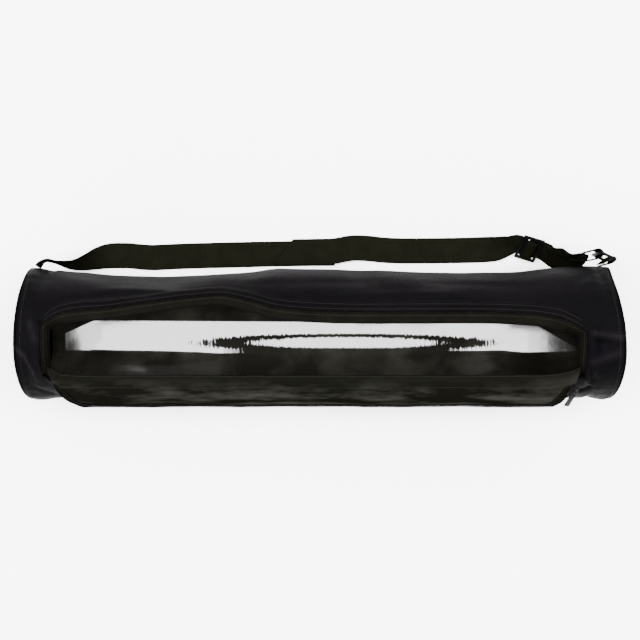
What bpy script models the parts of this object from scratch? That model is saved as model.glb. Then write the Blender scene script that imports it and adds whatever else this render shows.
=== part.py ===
"""A zip-up carrying bag for a rolled exercise mat, lying open on a flat surface with its strap laid behind it.

Metres, +Z up, the bag's length along X, the opening and its flap towards -Y, the strap towards +Y.
Angles round the bag's section run from straight up towards the back.
"""
import math

import bmesh
import bpy
from mathutils import Matrix, Vector

# Bag
BAG_LENGTH = 0.680
BAG_RADIUS = 0.077
FLOOR_SAG = 0.004
CLOTH = 0.0015
GAP = 0.0003
PIPING_RADIUS = 0.0016
END_PANEL_DIP = 0.005
END_PANEL_CLEARANCE = 0.0007
LEAN_REACH = 0.080
LEAN_FULL = 0.006

# Opening, as distances in from the ends and angles round the section
OPENING_FROM_LEFT = 0.030
OPENING_FROM_RIGHT = 0.044
END_TAPE_ANGLE = -29.0

# Flap
FLAP_LENGTH = 0.103
FLAP_SIDE_CLEARANCE = 0.003
FLAP_DRIFT = 0.004
FLAP_TAPER = 0.023
HINGE_GAP = 0.0009
FLAP_TAPE_GAP = 0.0007

# Zip
TAPE_WIDTH = 0.012
TAPE_THICKNESS = 0.0010
COIL_RADIUS = 0.0012
SLIDER_LENGTH = 0.014
SLIDER_WIDTH = 0.009
SLIDER_HEIGHT = 0.004
SLIDER_PLACE = 0.36
PULL_LENGTH = 0.026
PULL_WIDTH = 0.006
PULL_THICKNESS = 0.0016

# Strap and its fittings
STRAP_WIDTH = 0.032
STRAP_THICKNESS = 0.0018
STRAP_LIFT = 0.0003
EDGE_LIFT = 1.30
SEAM_HEIGHT = 0.95
FOLD_LEFT = -0.13
FOLD_RIGHT = 0.05
FOLD_OUT = 0.66
FOLD_DRIFT = 0.03
ADJUSTER_ALONG = 0.762
ADJUSTER_OUT = 0.86
ADJUSTER_LENGTH = 0.026
ADJUSTER_BAR = 0.0033
ADJUSTER_SIDE_BAR = 0.0035
ADJUSTER_THICKNESS = 0.0024
ADJUSTER_ROLL = 54.0
ADJUSTER_YAW = -17.0
ADJUSTER_REACH = 0.72
WEAVE_RUN_IN = 0.0010
SLOT_CLEARANCE = 0.0015
RING_BAR = 0.0036
RING_SPAN = 0.0165
RING_ALONG = 0.961
RING_OUT = 0.50
RING_YAW = -26.0
LOOP_RADIUS = 0.0055

# How many faces the soft forms get
END_ROWS = 3
OPENING_ROWS = 26
SKIN_COLUMNS = 30
WINDOW_COLUMNS = 7
FLAP_ROWS = 22
FLAP_COLUMNS = 12
STRAP_STEPS = 3

HALF = BAG_LENGTH / 2
AXIS_HEIGHT = BAG_RADIUS - FLOOR_SAG
TUBE_END = HALF - 2 * PIPING_RADIUS - GAP
OPENING_LEFT = -HALF + OPENING_FROM_LEFT
OPENING_RIGHT = HALF - OPENING_FROM_RIGHT
LAYER = STRAP_THICKNESS + GAP * 1.5

# along: share of the half length. hem and hinge: angles of the opening's two long edges. back: how far the
# back is pulled in, as a share of the radius.
EDGES = [
    dict(along=-1.00, hem=6.0, hinge=-36.0, back=0.00),
    dict(along=-0.91, hem=7.0, hinge=-38.0, back=0.03),
    dict(along=-0.875, hem=14.0, hinge=-45.0, back=0.05),
    dict(along=-0.82, hem=19.0, hinge=-47.0, back=0.07),
    dict(along=-0.70, hem=22.0, hinge=-47.5, back=0.12),
    dict(along=-0.55, hem=28.5, hinge=-47.5, back=0.14),
    dict(along=-0.45, hem=33.0, hinge=-47.5, back=0.12),
    dict(along=-0.34, hem=36.0, hinge=-47.5, back=0.09),
    dict(along=-0.24, hem=31.5, hinge=-47.5, back=0.07),
    dict(along=-0.14, hem=26.0, hinge=-47.5, back=0.02),
    dict(along=0.00, hem=22.0, hinge=-47.5, back=0.035),
    dict(along=0.26, hem=19.7, hinge=-47.5, back=0.052),
    dict(along=0.50, hem=18.5, hinge=-47.5, back=0.078),
    dict(along=0.68, hem=17.0, hinge=-47.0, back=0.060),
    dict(along=0.78, hem=13.0, hinge=-46.0, back=0.010),
    dict(along=0.835, hem=7.0, hinge=-43.0, back=-0.010),
    dict(along=0.871, hem=2.0, hinge=-38.0, back=-0.020),
    dict(along=0.94, hem=1.0, hinge=-36.0, back=-0.028),
    dict(along=1.00, hem=0.0, hinge=-36.0, back=-0.010),
]

# Creases and dents pressed into the skin: where they lie, how deep (share of the radius), how far they reach
# along (share of the half length) and round (degrees).
CREASES = [
    dict(along=-0.945, angle=10.0, depth=0.045, reach=0.016, spread=16.0),
    dict(along=-0.965, angle=-38.0, depth=0.035, reach=0.020, spread=26.0),
    dict(along=0.925, angle=-8.0, depth=0.050, reach=0.022, spread=18.0),
    dict(along=0.905, angle=-52.0, depth=0.040, reach=0.018, spread=14.0),
    dict(along=0.955, angle=62.0, depth=0.030, reach=0.020, spread=20.0),
    dict(along=-0.930, angle=75.0, depth=0.035, reach=0.020, spread=22.0),
    dict(along=-0.520, angle=62.0, depth=0.030, reach=0.120, spread=20.0),
    dict(along=0.430, angle=58.0, depth=0.025, reach=0.100, spread=18.0),
    dict(along=0.120, angle=70.0, depth=0.018, reach=0.050, spread=16.0),
    dict(along=-0.960, angle=-96.0, depth=-0.030, reach=0.035, spread=34.0),
    dict(along=0.975, angle=-96.0, depth=-0.022, reach=0.022, spread=34.0),
    dict(along=0.922, angle=-94.0, depth=0.040, reach=0.012, spread=30.0),
]

# How far each end's rim stands out past its plain place, round the section (metres).
END_LEANS = [
    dict(angle=-180.0, left=0.0000, right=0.0000),
    dict(angle=-90.0, left=0.0004, right=0.0004),
    dict(angle=-32.0, left=0.0015, right=0.0020),
    dict(angle=5.0, left=0.0000, right=-0.0010),
    dict(angle=28.0, left=-0.0012, right=-0.0040),
    dict(angle=52.0, left=-0.0020, right=-0.0060),
    dict(angle=85.0, left=-0.0006, right=-0.0012),
    dict(angle=120.0, left=0.0000, right=0.0000),
    dict(angle=180.0, left=0.0000, right=0.0000),
]

# The flap's run over the front, from the hinge down: angle past the hinge and height off the skin (share of
# the radius).
FLAP_RUN = [
    dict(turn=0.0, off=0.000),
    dict(turn=5.0, off=0.016),
    dict(turn=9.5, off=0.038),
    dict(turn=11.0, off=0.072),
    dict(turn=8.0, off=0.110),
    dict(turn=1.0, off=0.130),
    dict(turn=-9.0, off=0.122),
    dict(turn=-20.0, off=0.102),
    dict(turn=-32.0, off=0.090),
    dict(turn=-44.0, off=0.108),
    dict(turn=-53.0, off=0.158),
    dict(turn=-60.0, off=0.212),
    dict(turn=-67.0, off=0.290),
    dict(turn=-74.0, off=0.390),
]

# The strap's run from the left seam to the fold, and from the fold to the adjuster. along: share of the half
# length. out: strap widths behind the bag. up: share of the seam's height. roll: degrees from flat.
STRAP_LEFT = [
    dict(along=-0.974, out=0.150, up=0.99, roll=90.0),
    dict(along=-0.957, out=0.245, up=0.95, roll=90.0),
    dict(along=-0.930, out=0.250, up=0.84, roll=90.0),
    dict(along=-0.900, out=0.250, up=0.62, roll=84.0),
    dict(along=-0.855, out=0.310, up=0.35, roll=62.0),
    dict(along=-0.805, out=0.480, up=0.16, roll=34.0),
    dict(along=-0.765, out=0.565, up=0.06, roll=16.0),
    dict(along=-0.710, out=0.580, up=0.00, roll=3.0),
    dict(along=-0.620, out=0.510, up=0.00, roll=0.0),
    dict(along=-0.510, out=0.560, up=0.00, roll=0.0),
    dict(along=-0.300, out=0.620, up=0.00, roll=0.0),
]
STRAP_RIGHT = [
    dict(along=0.130, out=0.880, up=0.055, roll=0.0),
    dict(along=0.180, out=0.860, up=0.030, roll=0.0),
    dict(along=0.240, out=0.800, up=0.000, roll=0.0),
    dict(along=0.320, out=0.770, up=0.000, roll=0.0),
    dict(along=0.450, out=0.780, up=0.000, roll=0.0),
    dict(along=0.560, out=0.800, up=0.000, roll=2.0),
    dict(along=0.620, out=0.820, up=0.070, roll=14.0),
    dict(along=0.655, out=0.860, up=0.150, roll=32.0),
]
# From the adjuster to the ring, the middle between the strap's two strands.
STRAP_TO_RING = [
    dict(along=0.830, out=0.500, up=0.28, roll=64.0),
    dict(along=0.858, out=0.330, up=0.52, roll=82.0),
    dict(along=0.888, out=0.310, up=0.84, roll=90.0),
    dict(along=0.922, out=0.390, up=1.00, roll=90.0),
]

# Colour, roughness and metallic value of each material
BLACK_NYLON = ((0.018, 0.017, 0.019), 0.62, 0.0)
END_NYLON = ((0.014, 0.013, 0.015), 0.66, 0.0)
BLACK_TAPE = ((0.020, 0.020, 0.017), 0.75, 0.0)
BLACK_COIL = ((0.012, 0.012, 0.012), 0.35, 0.0)
BLACK_WEBBING = ((0.017, 0.017, 0.013), 0.80, 0.0)
BLACK_PLASTIC = ((0.012, 0.012, 0.013), 0.30, 0.0)
BLACK_METAL = ((0.030, 0.030, 0.032), 0.28, 1.0)


def clear_scene():
    for obj in list(bpy.data.objects):
        bpy.data.objects.remove(obj, do_unlink=True)


def material(name, finish):
    colour, roughness, metallic = finish
    made = bpy.data.materials.get(name)
    if made is None:
        made = bpy.data.materials.new(name)
        made.use_nodes = True
        shader = made.node_tree.nodes["Principled BSDF"]
        shader.inputs["Base Color"].default_value = (*colour, 1.0)
        shader.inputs["Roughness"].default_value = roughness
        shader.inputs["Metallic"].default_value = metallic
    return made


def tangents(keys, values):
    """Slopes for a smooth curve through a table's values, level at each peak and where a flat stretch starts."""
    slopes = []
    last = len(keys) - 1
    for i in range(len(keys)):
        before, after = max(i - 1, 0), min(i + 1, last)
        turns = (values[i] - values[before]) * (values[after] - values[i]) <= 0
        level = turns and 0 < i < last
        slopes.append(0.0 if level else (values[after] - values[before]) / (keys[after] - keys[before]))
    return slopes


def value_at(table, key, column, at):
    """One column of a table, read smoothly between its rows."""
    keys = [row[key] for row in table]
    values = [row[column] for row in table]
    at = min(max(at, keys[0]), keys[-1])
    i = max(n for n in range(len(keys) - 1) if keys[n] <= at)
    slopes = tangents(keys, values)
    span = keys[i + 1] - keys[i]
    t = (at - keys[i]) / span
    start = values[i] * (1 + 2 * t) * (1 - t) ** 2 + slopes[i] * span * t * (1 - t) ** 2
    end = values[i + 1] * t * t * (3 - 2 * t) + slopes[i + 1] * span * t * t * (t - 1)
    return start + end


def hem_angle(x):
    return value_at(EDGES, "along", "hem", x / HALF)


def hinge_angle(x):
    return value_at(EDGES, "along", "hinge", x / HALF)


def radius_at(x, angle):
    """The skin's radius, with the back's dent and the creases."""
    along = x / HALF
    back = max(0.0, math.sin(math.radians(angle))) ** 2
    shrink = value_at(EDGES, "along", "back", along) * back
    for crease in CREASES:
        off = (angle - crease["angle"] + 180) % 360 - 180
        near = (along - crease["along"]) / crease["reach"]
        shrink += crease["depth"] * math.exp(-near * near - (off / crease["spread"]) ** 2)
    return BAG_RADIUS * (1 - shrink)


def lean(x, angle):
    """How far a leaning end shifts the skin along the bag: fully at its rim, and not at all past its reach."""
    near = (abs(x) - HALF + LEAN_REACH) / (LEAN_REACH - LEAN_FULL)
    near = min(max(near, 0.0), 1.0)
    side = "right" if x > 0 else "left"
    out = value_at(END_LEANS, "angle", side, (angle + 180) % 360 - 180)
    return math.copysign(1, x) * out * near * near


def skin(x, angle, outward=0.0):
    """A point of the bag's outer face, or off it by outward. The round is flattened where it meets the floor."""
    radius = radius_at(x, angle) + outward
    turn = math.radians(angle)
    return Vector((x + lean(x, angle), radius * math.sin(turn), max(AXIS_HEIGHT + radius * math.cos(turn), -outward)))


def mesh_object(name, bm, finish, collection, root):
    bmesh.ops.remove_doubles(bm, verts=bm.verts, dist=1e-6)
    bmesh.ops.recalc_face_normals(bm, faces=bm.faces)
    mesh = bpy.data.meshes.new(name)
    bm.to_mesh(mesh)
    bm.free()
    mesh.shade_smooth()
    mesh.set_sharp_from_angle(angle=math.radians(40))
    mesh.materials.append(material(*finish))
    obj = bpy.data.objects.new(name, mesh)
    obj.parent = root
    collection.objects.link(obj)
    return obj


def loft(rows, closed=False, left_out=lambda row, column: False):
    """An open surface through rows of points."""
    bm = bmesh.new()
    grid = [[bm.verts.new(point) for point in row] for row in rows]
    columns = len(rows[0]) if closed else len(rows[0]) - 1
    for i in range(len(rows) - 1):
        for j in range(columns):
            if not left_out(i, j):
                k = (j + 1) % len(rows[0])
                bm.faces.new((grid[i][j], grid[i][k], grid[i + 1][k], grid[i + 1][j]))
    return bm


def solidify(obj, thickness, offset):
    wall = obj.modifiers.new("wall", "SOLIDIFY")
    wall.thickness = thickness
    wall.offset = offset
    wall.use_even_offset = True
    return obj


def spread(start, end, count):
    """Evenly spaced values from start to end."""
    return [start + (end - start) * i / count for i in range(count + 1)]


def skin_rows():
    """Where the body's cross sections stand: a few in each closed end, the others along the opening."""
    left = spread(-TUBE_END, OPENING_LEFT, END_ROWS)
    middle = spread(OPENING_LEFT, OPENING_RIGHT, OPENING_ROWS)
    right = spread(OPENING_RIGHT, TUBE_END, END_ROWS)
    return left + middle[1:] + right[1:]


def section_angles(x):
    """Angles round one section: from the hem round the back to the hinge, then over the opening."""
    hem, hinge = hem_angle(x), hinge_angle(x)
    cloth = spread(hem, hinge + 360, SKIN_COLUMNS)
    over = spread(hinge + 360, hem + 360, WINDOW_COLUMNS)
    return cloth + over[1:-1]


def make_body(collection, root):
    stations = skin_rows()
    rows = [[skin(x, angle) for angle in section_angles(x)] for x in stations]

    def in_window(row, column):
        return column >= SKIN_COLUMNS and END_ROWS <= row < END_ROWS + OPENING_ROWS

    bm = loft(rows, closed=True, left_out=in_window)
    obj = mesh_object("body", bm, ("black_nylon", BLACK_NYLON), collection, root)
    return solidify(obj, CLOTH, -1)


def end_outline(x, inset):
    """The flattened round of an end, inset from the skin."""
    return [skin(x, angle, -inset) for angle in section_angles(x)]


def make_end_panel(side, collection, root):
    """A round panel just inside the tube's end, sunk a little in the middle."""
    x = side * TUBE_END
    rim = end_outline(x, CLOTH + END_PANEL_CLEARANCE)
    centre = Vector((x, 0, AXIS_HEIGHT))
    rings = []
    for share in (1.0, 0.8, 0.5, 0.2):
        dip = Vector((-side * END_PANEL_DIP * (1 - share ** 2), 0, 0))
        rings.append([centre + (point - centre) * share + dip for point in rim])
    bm = loft(rings, closed=True)
    bmesh.ops.contextual_create(bm, geom=[e for e in bm.edges if e.is_boundary and inner_edge(e, centre)])
    name = "end_panel_right" if side > 0 else "end_panel_left"
    obj = mesh_object(name, bm, ("end_nylon", END_NYLON), collection, root)
    if (obj.data.polygons[0].normal.x > 0) != (side > 0):
        obj.data.flip_normals()
    return solidify(obj, CLOTH, -1)


def inner_edge(edge, centre):
    middle = (edge.verts[0].co + edge.verts[1].co) / 2
    return (Vector((0, middle.y, middle.z)) - Vector((0, 0, centre.z))).length < BAG_RADIUS / 2


def tube(name, points, radius, finish, collection, root, cyclic=False, sides=2):
    """A round cord along a chain of points."""
    curve = bpy.data.curves.new(name, "CURVE")
    curve.dimensions = "3D"
    curve.bevel_depth = radius
    curve.bevel_resolution = sides
    curve.use_fill_caps = True
    spline = curve.splines.new("POLY")
    spline.points.add(len(points) - 1)
    for slot, point in zip(spline.points, points):
        slot.co = (*point, 1.0)
    spline.use_cyclic_u = cyclic
    curve.materials.append(material(*finish))
    obj = bpy.data.objects.new(name, curve)
    obj.parent = root
    collection.objects.link(obj)
    return obj


def make_piping(side, collection, root):
    x = side * (HALF - PIPING_RADIUS)
    points = end_outline(x, PIPING_RADIUS)
    name = "piping_right" if side > 0 else "piping_left"
    return tube(name, points, PIPING_RADIUS, ("end_nylon", END_NYLON), collection, root, cyclic=True)


def offset_chain(chain, distance):
    """A flat chain of (along, round) places moved sideways by a distance, mitred at its corners."""
    moved = []
    for i, here in enumerate(chain):
        before = chain[max(i - 1, 0)]
        after = chain[min(i + 1, len(chain) - 1)]
        first = (here - before).normalized() if i else (after - here).normalized()
        second = (after - here).normalized() if i < len(chain) - 1 else first
        normals = [Vector((-run.y, run.x)) for run in (first, second)]
        middle = (normals[0] + normals[1]).normalized()
        moved.append(here + middle * distance / max(middle.dot(normals[0]), 0.5))
    return moved


def arc_place(x, angle):
    return Vector((x, BAG_RADIUS * math.radians(angle)))


def on_skin(place, outward):
    return skin(place.x, math.degrees(place.y / BAG_RADIUS), outward)


def opening_edge():
    """The hem round the opening's left end, back and right end, as flat (along, round) places."""
    back = spread(OPENING_LEFT, OPENING_RIGHT, OPENING_ROWS)
    chain = [arc_place(x, hem_angle(x)) for x in back]
    left = [arc_place(OPENING_LEFT, a) for a in spread(END_TAPE_ANGLE, hem_angle(OPENING_LEFT), 3)]
    right = [arc_place(OPENING_RIGHT, a) for a in spread(hem_angle(OPENING_RIGHT), END_TAPE_ANGLE, 3)]
    return left + chain[1:-1] + right


def make_body_zip(collection, root):
    """The tape inside the opening's edge, and the coil along the tape's free edge."""
    edge = opening_edge()
    near = offset_chain(edge, -GAP)
    far = offset_chain(edge, -GAP - TAPE_WIDTH)
    depth = -(CLOTH - TAPE_THICKNESS) / 2
    bm = loft([[on_skin(place, depth) for place in chain] for chain in (near, far)])
    tape = mesh_object("zipper_tape_body", bm, ("black_tape", BLACK_TAPE), collection, root)
    if sum(face.normal.z for face in tape.data.polygons) < 0:
        tape.data.flip_normals()
    solidify(tape, TAPE_THICKNESS, -1)
    line = offset_chain(edge, -2 * GAP - TAPE_WIDTH - COIL_RADIUS)
    middle = depth - TAPE_THICKNESS / 2
    points = [on_skin(place, middle) for place in line]
    tube("zipper_coil_body", points, COIL_RADIUS, ("black_coil", BLACK_COIL), collection, root)


def flap_run(x):
    """The flap's run at one place along the bag, as (length from the hinge, angle, height off the skin)."""
    hinge = hinge_angle(x) + math.degrees(HINGE_GAP / BAG_RADIUS)
    run = []
    length = 0.0
    steps = 8 * (len(FLAP_RUN) - 1)
    numbered = [dict(row, step=i) for i, row in enumerate(FLAP_RUN)]
    last = None
    for at in spread(0, len(FLAP_RUN) - 1, steps):
        angle = hinge + value_at(numbered, "step", "turn", at)
        off = BAG_RADIUS * value_at(numbered, "step", "off", at) - CLOTH / 2
        point = skin(x, angle, off)
        length += (point - last).length if last else 0.0
        run.append(dict(length=length, angle=angle, off=off))
        last = point
    return run


def flap_stations():
    left = OPENING_LEFT + FLAP_SIDE_CLEARANCE
    right = OPENING_RIGHT - FLAP_SIDE_CLEARANCE
    return left, right


class Flap:
    """The flap's face as places (share across, share down), narrowing and drifting sideways towards its free edge."""

    def __init__(self):
        self.left, self.right = flap_stations()
        self.runs = {}

    def run(self, x):
        key = round(x, 5)
        if key not in self.runs:
            self.runs[key] = flap_run(x)
        return self.runs[key]

    def point(self, across, down):
        x = self.left + (self.right - self.left) * across
        run = self.run(x)
        length = down * FLAP_LENGTH
        angle = value_at(run, "length", "angle", length)
        off = value_at(run, "length", "off", length)
        place = skin(x, angle, off)
        far = min(max(down, 0.0), 1.0)
        place.x += (FLAP_TAPER * (1 - 2 * across) + FLAP_DRIFT * far) * far
        return place

    def normal(self, across, down):
        """Straight out of the face that shows from above."""
        small = 0.004
        side = self.point(min(across + small, 1), down) - self.point(max(across - small, 0), down)
        slope = self.point(across, down + small) - self.point(across, max(down - small, 0))
        return side.cross(slope).normalized() * -1

    def lifted(self, across, down, height):
        return self.point(across, down) + self.normal(across, down) * height


def make_flap(flap, collection, root):
    rows = [[flap.point(a, d) for d in spread(0, 1, FLAP_COLUMNS)] for a in spread(0, 1, FLAP_ROWS)]
    obj = mesh_object("front_flap", loft(rows), ("black_nylon", BLACK_NYLON), collection, root)
    return solidify(obj, CLOTH, 0)


def flap_edge(inset):
    """The zip's line round the flap's right side, free edge and left side, as (across, down) shares."""
    wide = flap_stations()
    a = inset / (wide[1] - wide[0])
    d = inset / FLAP_LENGTH
    down = [Vector((a, share)) for share in spread(SLIDER_PLACE, 1 - d, 6)]
    over = [Vector((share, 1 - d)) for share in spread(a, 1 - a, FLAP_ROWS)]
    up = [Vector((1 - a, share)) for share in spread(1 - d, SLIDER_PLACE, 6)]
    return down + over[1:-1] + up


def make_flap_zip(flap, collection, root):
    """The tape laid on the flap's shown face round its edge, and the coil just outside it."""
    height = CLOTH / 2 + FLAP_TAPE_GAP + TAPE_THICKNESS / 2
    rows = []
    for inset in (GAP, TAPE_WIDTH):
        rows.append([flap.lifted(place.x, place.y, height) for place in flap_edge(inset)])
    obj = mesh_object("zipper_tape_flap", loft(rows), ("black_tape", BLACK_TAPE), collection, root)
    solidify(obj, TAPE_THICKNESS, 0)
    lift = height + TAPE_THICKNESS / 2 + GAP + COIL_RADIUS
    points = [flap.lifted(place.x, place.y, lift) for place in flap_edge(COIL_RADIUS + GAP)]
    tube("zipper_coil_flap", points, COIL_RADIUS, ("black_coil", BLACK_COIL), collection, root)
    return lift + COIL_RADIUS + GAP


def box(size):
    bm = bmesh.new()
    bmesh.ops.create_cube(bm, size=1.0, matrix=Matrix.Diagonal((*size, 1.0)))
    return bm


def frame_matrix(origin, forward, up):
    """A place whose X runs forward and whose Z is as near up as it can be."""
    forward = forward.normalized()
    side = up.cross(forward).normalized()
    up = forward.cross(side)
    matrix = Matrix((forward, side, up)).transposed().to_4x4()
    matrix.translation = origin
    return matrix


def bevel(obj, width, segments=2):
    edge = obj.modifiers.new("rounded edges", "BEVEL")
    edge.width = width
    edge.segments = segments
    edge.limit_method = "ANGLE"


def make_slider(flap, height, collection, root):
    """The slider on the flap's right coil, and its pull hanging down the flap."""
    across, down = 1 - (COIL_RADIUS + GAP) / (flap.right - flap.left), SLIDER_PLACE + 0.06
    origin = flap.lifted(across, down, height + SLIDER_HEIGHT / 2)
    forward = flap.point(across, down + 0.05) - flap.point(across, down - 0.05)
    up = flap.normal(across, down)
    slider = mesh_object("zipper_slider", box((SLIDER_LENGTH, SLIDER_WIDTH, SLIDER_HEIGHT)),
                         ("black_metal", BLACK_METAL), collection, root)
    place = frame_matrix(origin, forward, up)
    slider.matrix_local = place
    bevel(slider, SLIDER_HEIGHT / 4)
    pull = mesh_object("zipper_pull", box((PULL_LENGTH, PULL_WIDTH, PULL_THICKNESS)),
                       ("black_metal", BLACK_METAL), collection, root)
    away = SLIDER_HEIGHT / 2 + GAP + PULL_THICKNESS / 2
    reach = PULL_LENGTH / 2 - SLIDER_LENGTH / 4
    pull.matrix_local = place @ Matrix.Translation((reach, 0, away))
    bevel(pull, PULL_THICKNESS / 3)


def strap_place(row):
    """A strap row's middle and the direction of its width."""
    rest = STRAP_THICKNESS / 2 + STRAP_LIFT
    seam = SEAM_HEIGHT * AXIS_HEIGHT
    tilt = math.radians(row["roll"])
    height = rest + max(row["up"] * (seam - rest), EDGE_LIFT * math.sin(tilt) * STRAP_WIDTH / 2)
    middle = Vector((row["along"] * HALF, BAG_RADIUS + row["out"] * STRAP_WIDTH, height))
    return middle, Vector((0, math.cos(tilt), math.sin(tilt)))


def seam_row():
    """The strap's sewn end, upright against the back of the bag's left end."""
    x = -TUBE_END + STRAP_THICKNESS
    y = skin(x, 90.0).y + STRAP_THICKNESS / 2 + 2 * GAP
    return Vector((x, y, SEAM_HEIGHT * AXIS_HEIGHT)), Vector((0, 0, 1))


def smooth_rows(rows, steps):
    """More rows on a smooth curve through the given (middle, width direction) rows."""
    numbered = []
    for i, (middle, wide) in enumerate(rows):
        numbered.append(dict(step=i, x=middle.x, y=middle.y, z=middle.z, wx=wide.x, wy=wide.y, wz=wide.z))
    made = []
    for at in spread(0, len(rows) - 1, steps * (len(rows) - 1)):
        x, y, z, wx, wy, wz = (value_at(numbered, "step", c, at) for c in ("x", "y", "z", "wx", "wy", "wz"))
        made.append((Vector((x, y, z)), Vector((wx, wy, wz)).normalized()))
    return made


def turned_back(middle, wide, forward, up, steps=6):
    """Rows round a half turn that starts at middle and ends one layer further up."""
    radius = LAYER / 2
    centre = middle + up * radius
    rows = []
    for i in range(1, steps):
        turn = math.pi * i / steps
        rows.append((centre + forward * radius * math.sin(turn) - up * radius * math.cos(turn), wide))
    return rows


def folded_rows():
    """The strap doubled back on itself twice, one layer on the next, then down to the floor again."""
    up = Vector((0, 0, 1))
    rest = STRAP_THICKNESS / 2 + STRAP_LIFT
    y = BAG_RADIUS + FOLD_OUT * STRAP_WIDTH
    drift = FOLD_DRIFT * STRAP_WIDTH
    left, right = FOLD_LEFT * HALF, FOLD_RIGHT * HALF
    wide = Vector((0, 1, 0))
    rows = []
    corners = [(left, right, 0), (right, left, 1), (left, right, 2)]
    for start, end, level in corners:
        z = rest + level * LAYER
        for share in (0.0, 0.5, 1.0):
            x = start + (end - start) * share
            rows.append((Vector((x, y + drift * (level + share), z)), wide))
        if level < 2:
            forward = Vector((math.copysign(1, end - start), 0, 0))
            rows += turned_back(rows[-1][0], wide, forward, up)
    return rows


class Strands:
    """The line between the strap's two strands from the adjuster to the ring, and its frames."""

    def __init__(self):
        tilt = math.radians(ADJUSTER_ROLL)
        self.plate = STRAP_WIDTH + 2 * (SLOT_CLEARANCE + ADJUSTER_SIDE_BAR)
        low = self.plate / 2 * math.sin(tilt) + ADJUSTER_THICKNESS
        middle = Vector((ADJUSTER_ALONG * HALF, BAG_RADIUS + ADJUSTER_OUT * STRAP_WIDTH, low))
        yaw = math.radians(ADJUSTER_YAW)
        wide = Vector((-math.sin(yaw) * math.cos(tilt), math.cos(yaw) * math.cos(tilt), math.sin(tilt)))
        reach = Vector((math.cos(yaw), math.sin(yaw), 0)) * ADJUSTER_LENGTH * ADJUSTER_REACH
        self.middle = middle
        self.wide = wide
        rows = [(middle + reach * share, wide) for share in (-1.0, -0.9, 0.0, 0.9, 1.0)]
        rows += [strap_place(row) for row in STRAP_TO_RING]
        self.bar = Vector((RING_ALONG * HALF, BAG_RADIUS + RING_OUT * STRAP_WIDTH, SEAM_HEIGHT * AXIS_HEIGHT))
        rows.append((self.bar, Vector((0, 0, 1))))
        self.rows = smooth_rows(rows, STRAP_STEPS)
        self.lengths = [0.0]
        for (a, _), (b, _) in zip(self.rows, self.rows[1:]):
            self.lengths.append(self.lengths[-1] + (b - a).length)
        self.centre = self.lengths[2 * STRAP_STEPS]
        self.end = self.lengths[-1] - self.centre

    def at(self, distance):
        """Middle, forward, width and up directions at a distance past the adjuster's middle."""
        length = min(max(distance + self.centre, 0.0), self.lengths[-1])
        i = max(n for n in range(len(self.lengths) - 1) if self.lengths[n] <= length)
        share = (length - self.lengths[i]) / (self.lengths[i + 1] - self.lengths[i])
        (a, wide_a), (b, wide_b) = self.rows[i], self.rows[i + 1]
        after = self.rows[min(i + 2, len(self.rows) - 1)][0]
        before = self.rows[max(i - 1, 0)][0]
        forward = ((b - before) * (1 - share) + (after - a) * share).normalized()
        wide = wide_a.lerp(wide_b, share)
        wide = (wide - forward * wide.dot(forward)).normalized()
        return a.lerp(b, share), forward, wide, forward.cross(wide)

    def row(self, distance, height):
        middle, _, wide, up = self.at(distance)
        return middle + up * height, wide


def adjuster_levels():
    """Heights of the strap's layers and the adjuster's plate at its bars, over the strands' middle line."""
    half = STRAP_THICKNESS / 2
    under = -LAYER
    plate_low = under + LAYER + half + GAP + ADJUSTER_THICKNESS / 2
    return dict(
        tail_under=under,
        main_under=0.0,
        plate=plate_low,
        tail_over=plate_low + ADJUSTER_THICKNESS / 2 + GAP + half,
        main_over=plate_low + ADJUSTER_THICKNESS / 2 + 2 * GAP + half + STRAP_THICKNESS,
    )


def weave_rows(strands):
    """The main strand under the first bar, over the middle bar and the strap's end on it, and under the last."""
    level = adjuster_levels()
    edge = ADJUSTER_LENGTH / 2
    inner = edge - ADJUSTER_BAR - WEAVE_RUN_IN
    bar = ADJUSTER_BAR / 2
    rise = level["main_over"] - level["plate"]
    drop = level["plate"] - level["main_under"]
    reach = inner - bar
    slope = math.asin(rise / math.hypot(reach, drop)) + math.atan2(drop, reach)
    climb = []
    for share in (1.0, 0.5, 0.0):
        turn = slope * share
        climb.append((bar + rise * math.sin(turn), level["plate"] + rise * math.cos(turn)))
    run = [(edge * 1.1, level["main_under"]), (inner, level["main_under"])] + climb
    rows = [strands.row(-edge * 1.40, level["main_under"])]
    rows += [strands.row(-distance, height) for distance, height in run]
    return rows + [strands.row(distance, height) for distance, height in reversed(run)]


def loop_rows(strands):
    """Out to the ring on one side of the middle line, round its bar, and back to the adjuster on the other."""
    level = adjuster_levels()
    start = ADJUSTER_LENGTH * ADJUSTER_REACH
    out, back = [], []
    for distance in spread(start, strands.end - LOOP_RADIUS * 0.2, 14)[1:]:
        share = (distance - start) / (strands.end - start)
        out.append(strands.row(distance, level["main_under"] + (LOOP_RADIUS - level["main_under"]) * share))
        back.append(strands.row(distance, level["tail_under"] + (-LOOP_RADIUS - level["tail_under"]) * share))
    middle, forward, wide, up = strands.at(strands.end)
    turn = []
    for i in range(0, 9):
        angle = math.pi * i / 8
        turn.append((middle + up * LOOP_RADIUS * math.cos(angle) + forward * LOOP_RADIUS * math.sin(angle), wide))
    tail = [strands.row(start, level["tail_under"]), strands.row(0.0, level["tail_under"])]
    return out + turn + back[::-1] + tail + tail_end(strands)


def tail_end(strands):
    """The strap's end, round the adjuster's middle bar."""
    level = adjuster_levels()
    middle = level["plate"]
    bar = ADJUSTER_BAR / 2
    radius = level["tail_over"] - middle
    under = middle - radius
    rows = [strands.row(-bar, under)]
    for i in range(1, 6):
        turn = math.pi * i / 6
        rows.append(strands.row(-bar - radius * math.sin(turn), middle - radius * math.cos(turn)))
    rows.append(strands.row(-bar, level["tail_over"]))
    rows.append(strands.row(bar, level["tail_over"]))
    return rows


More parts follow.
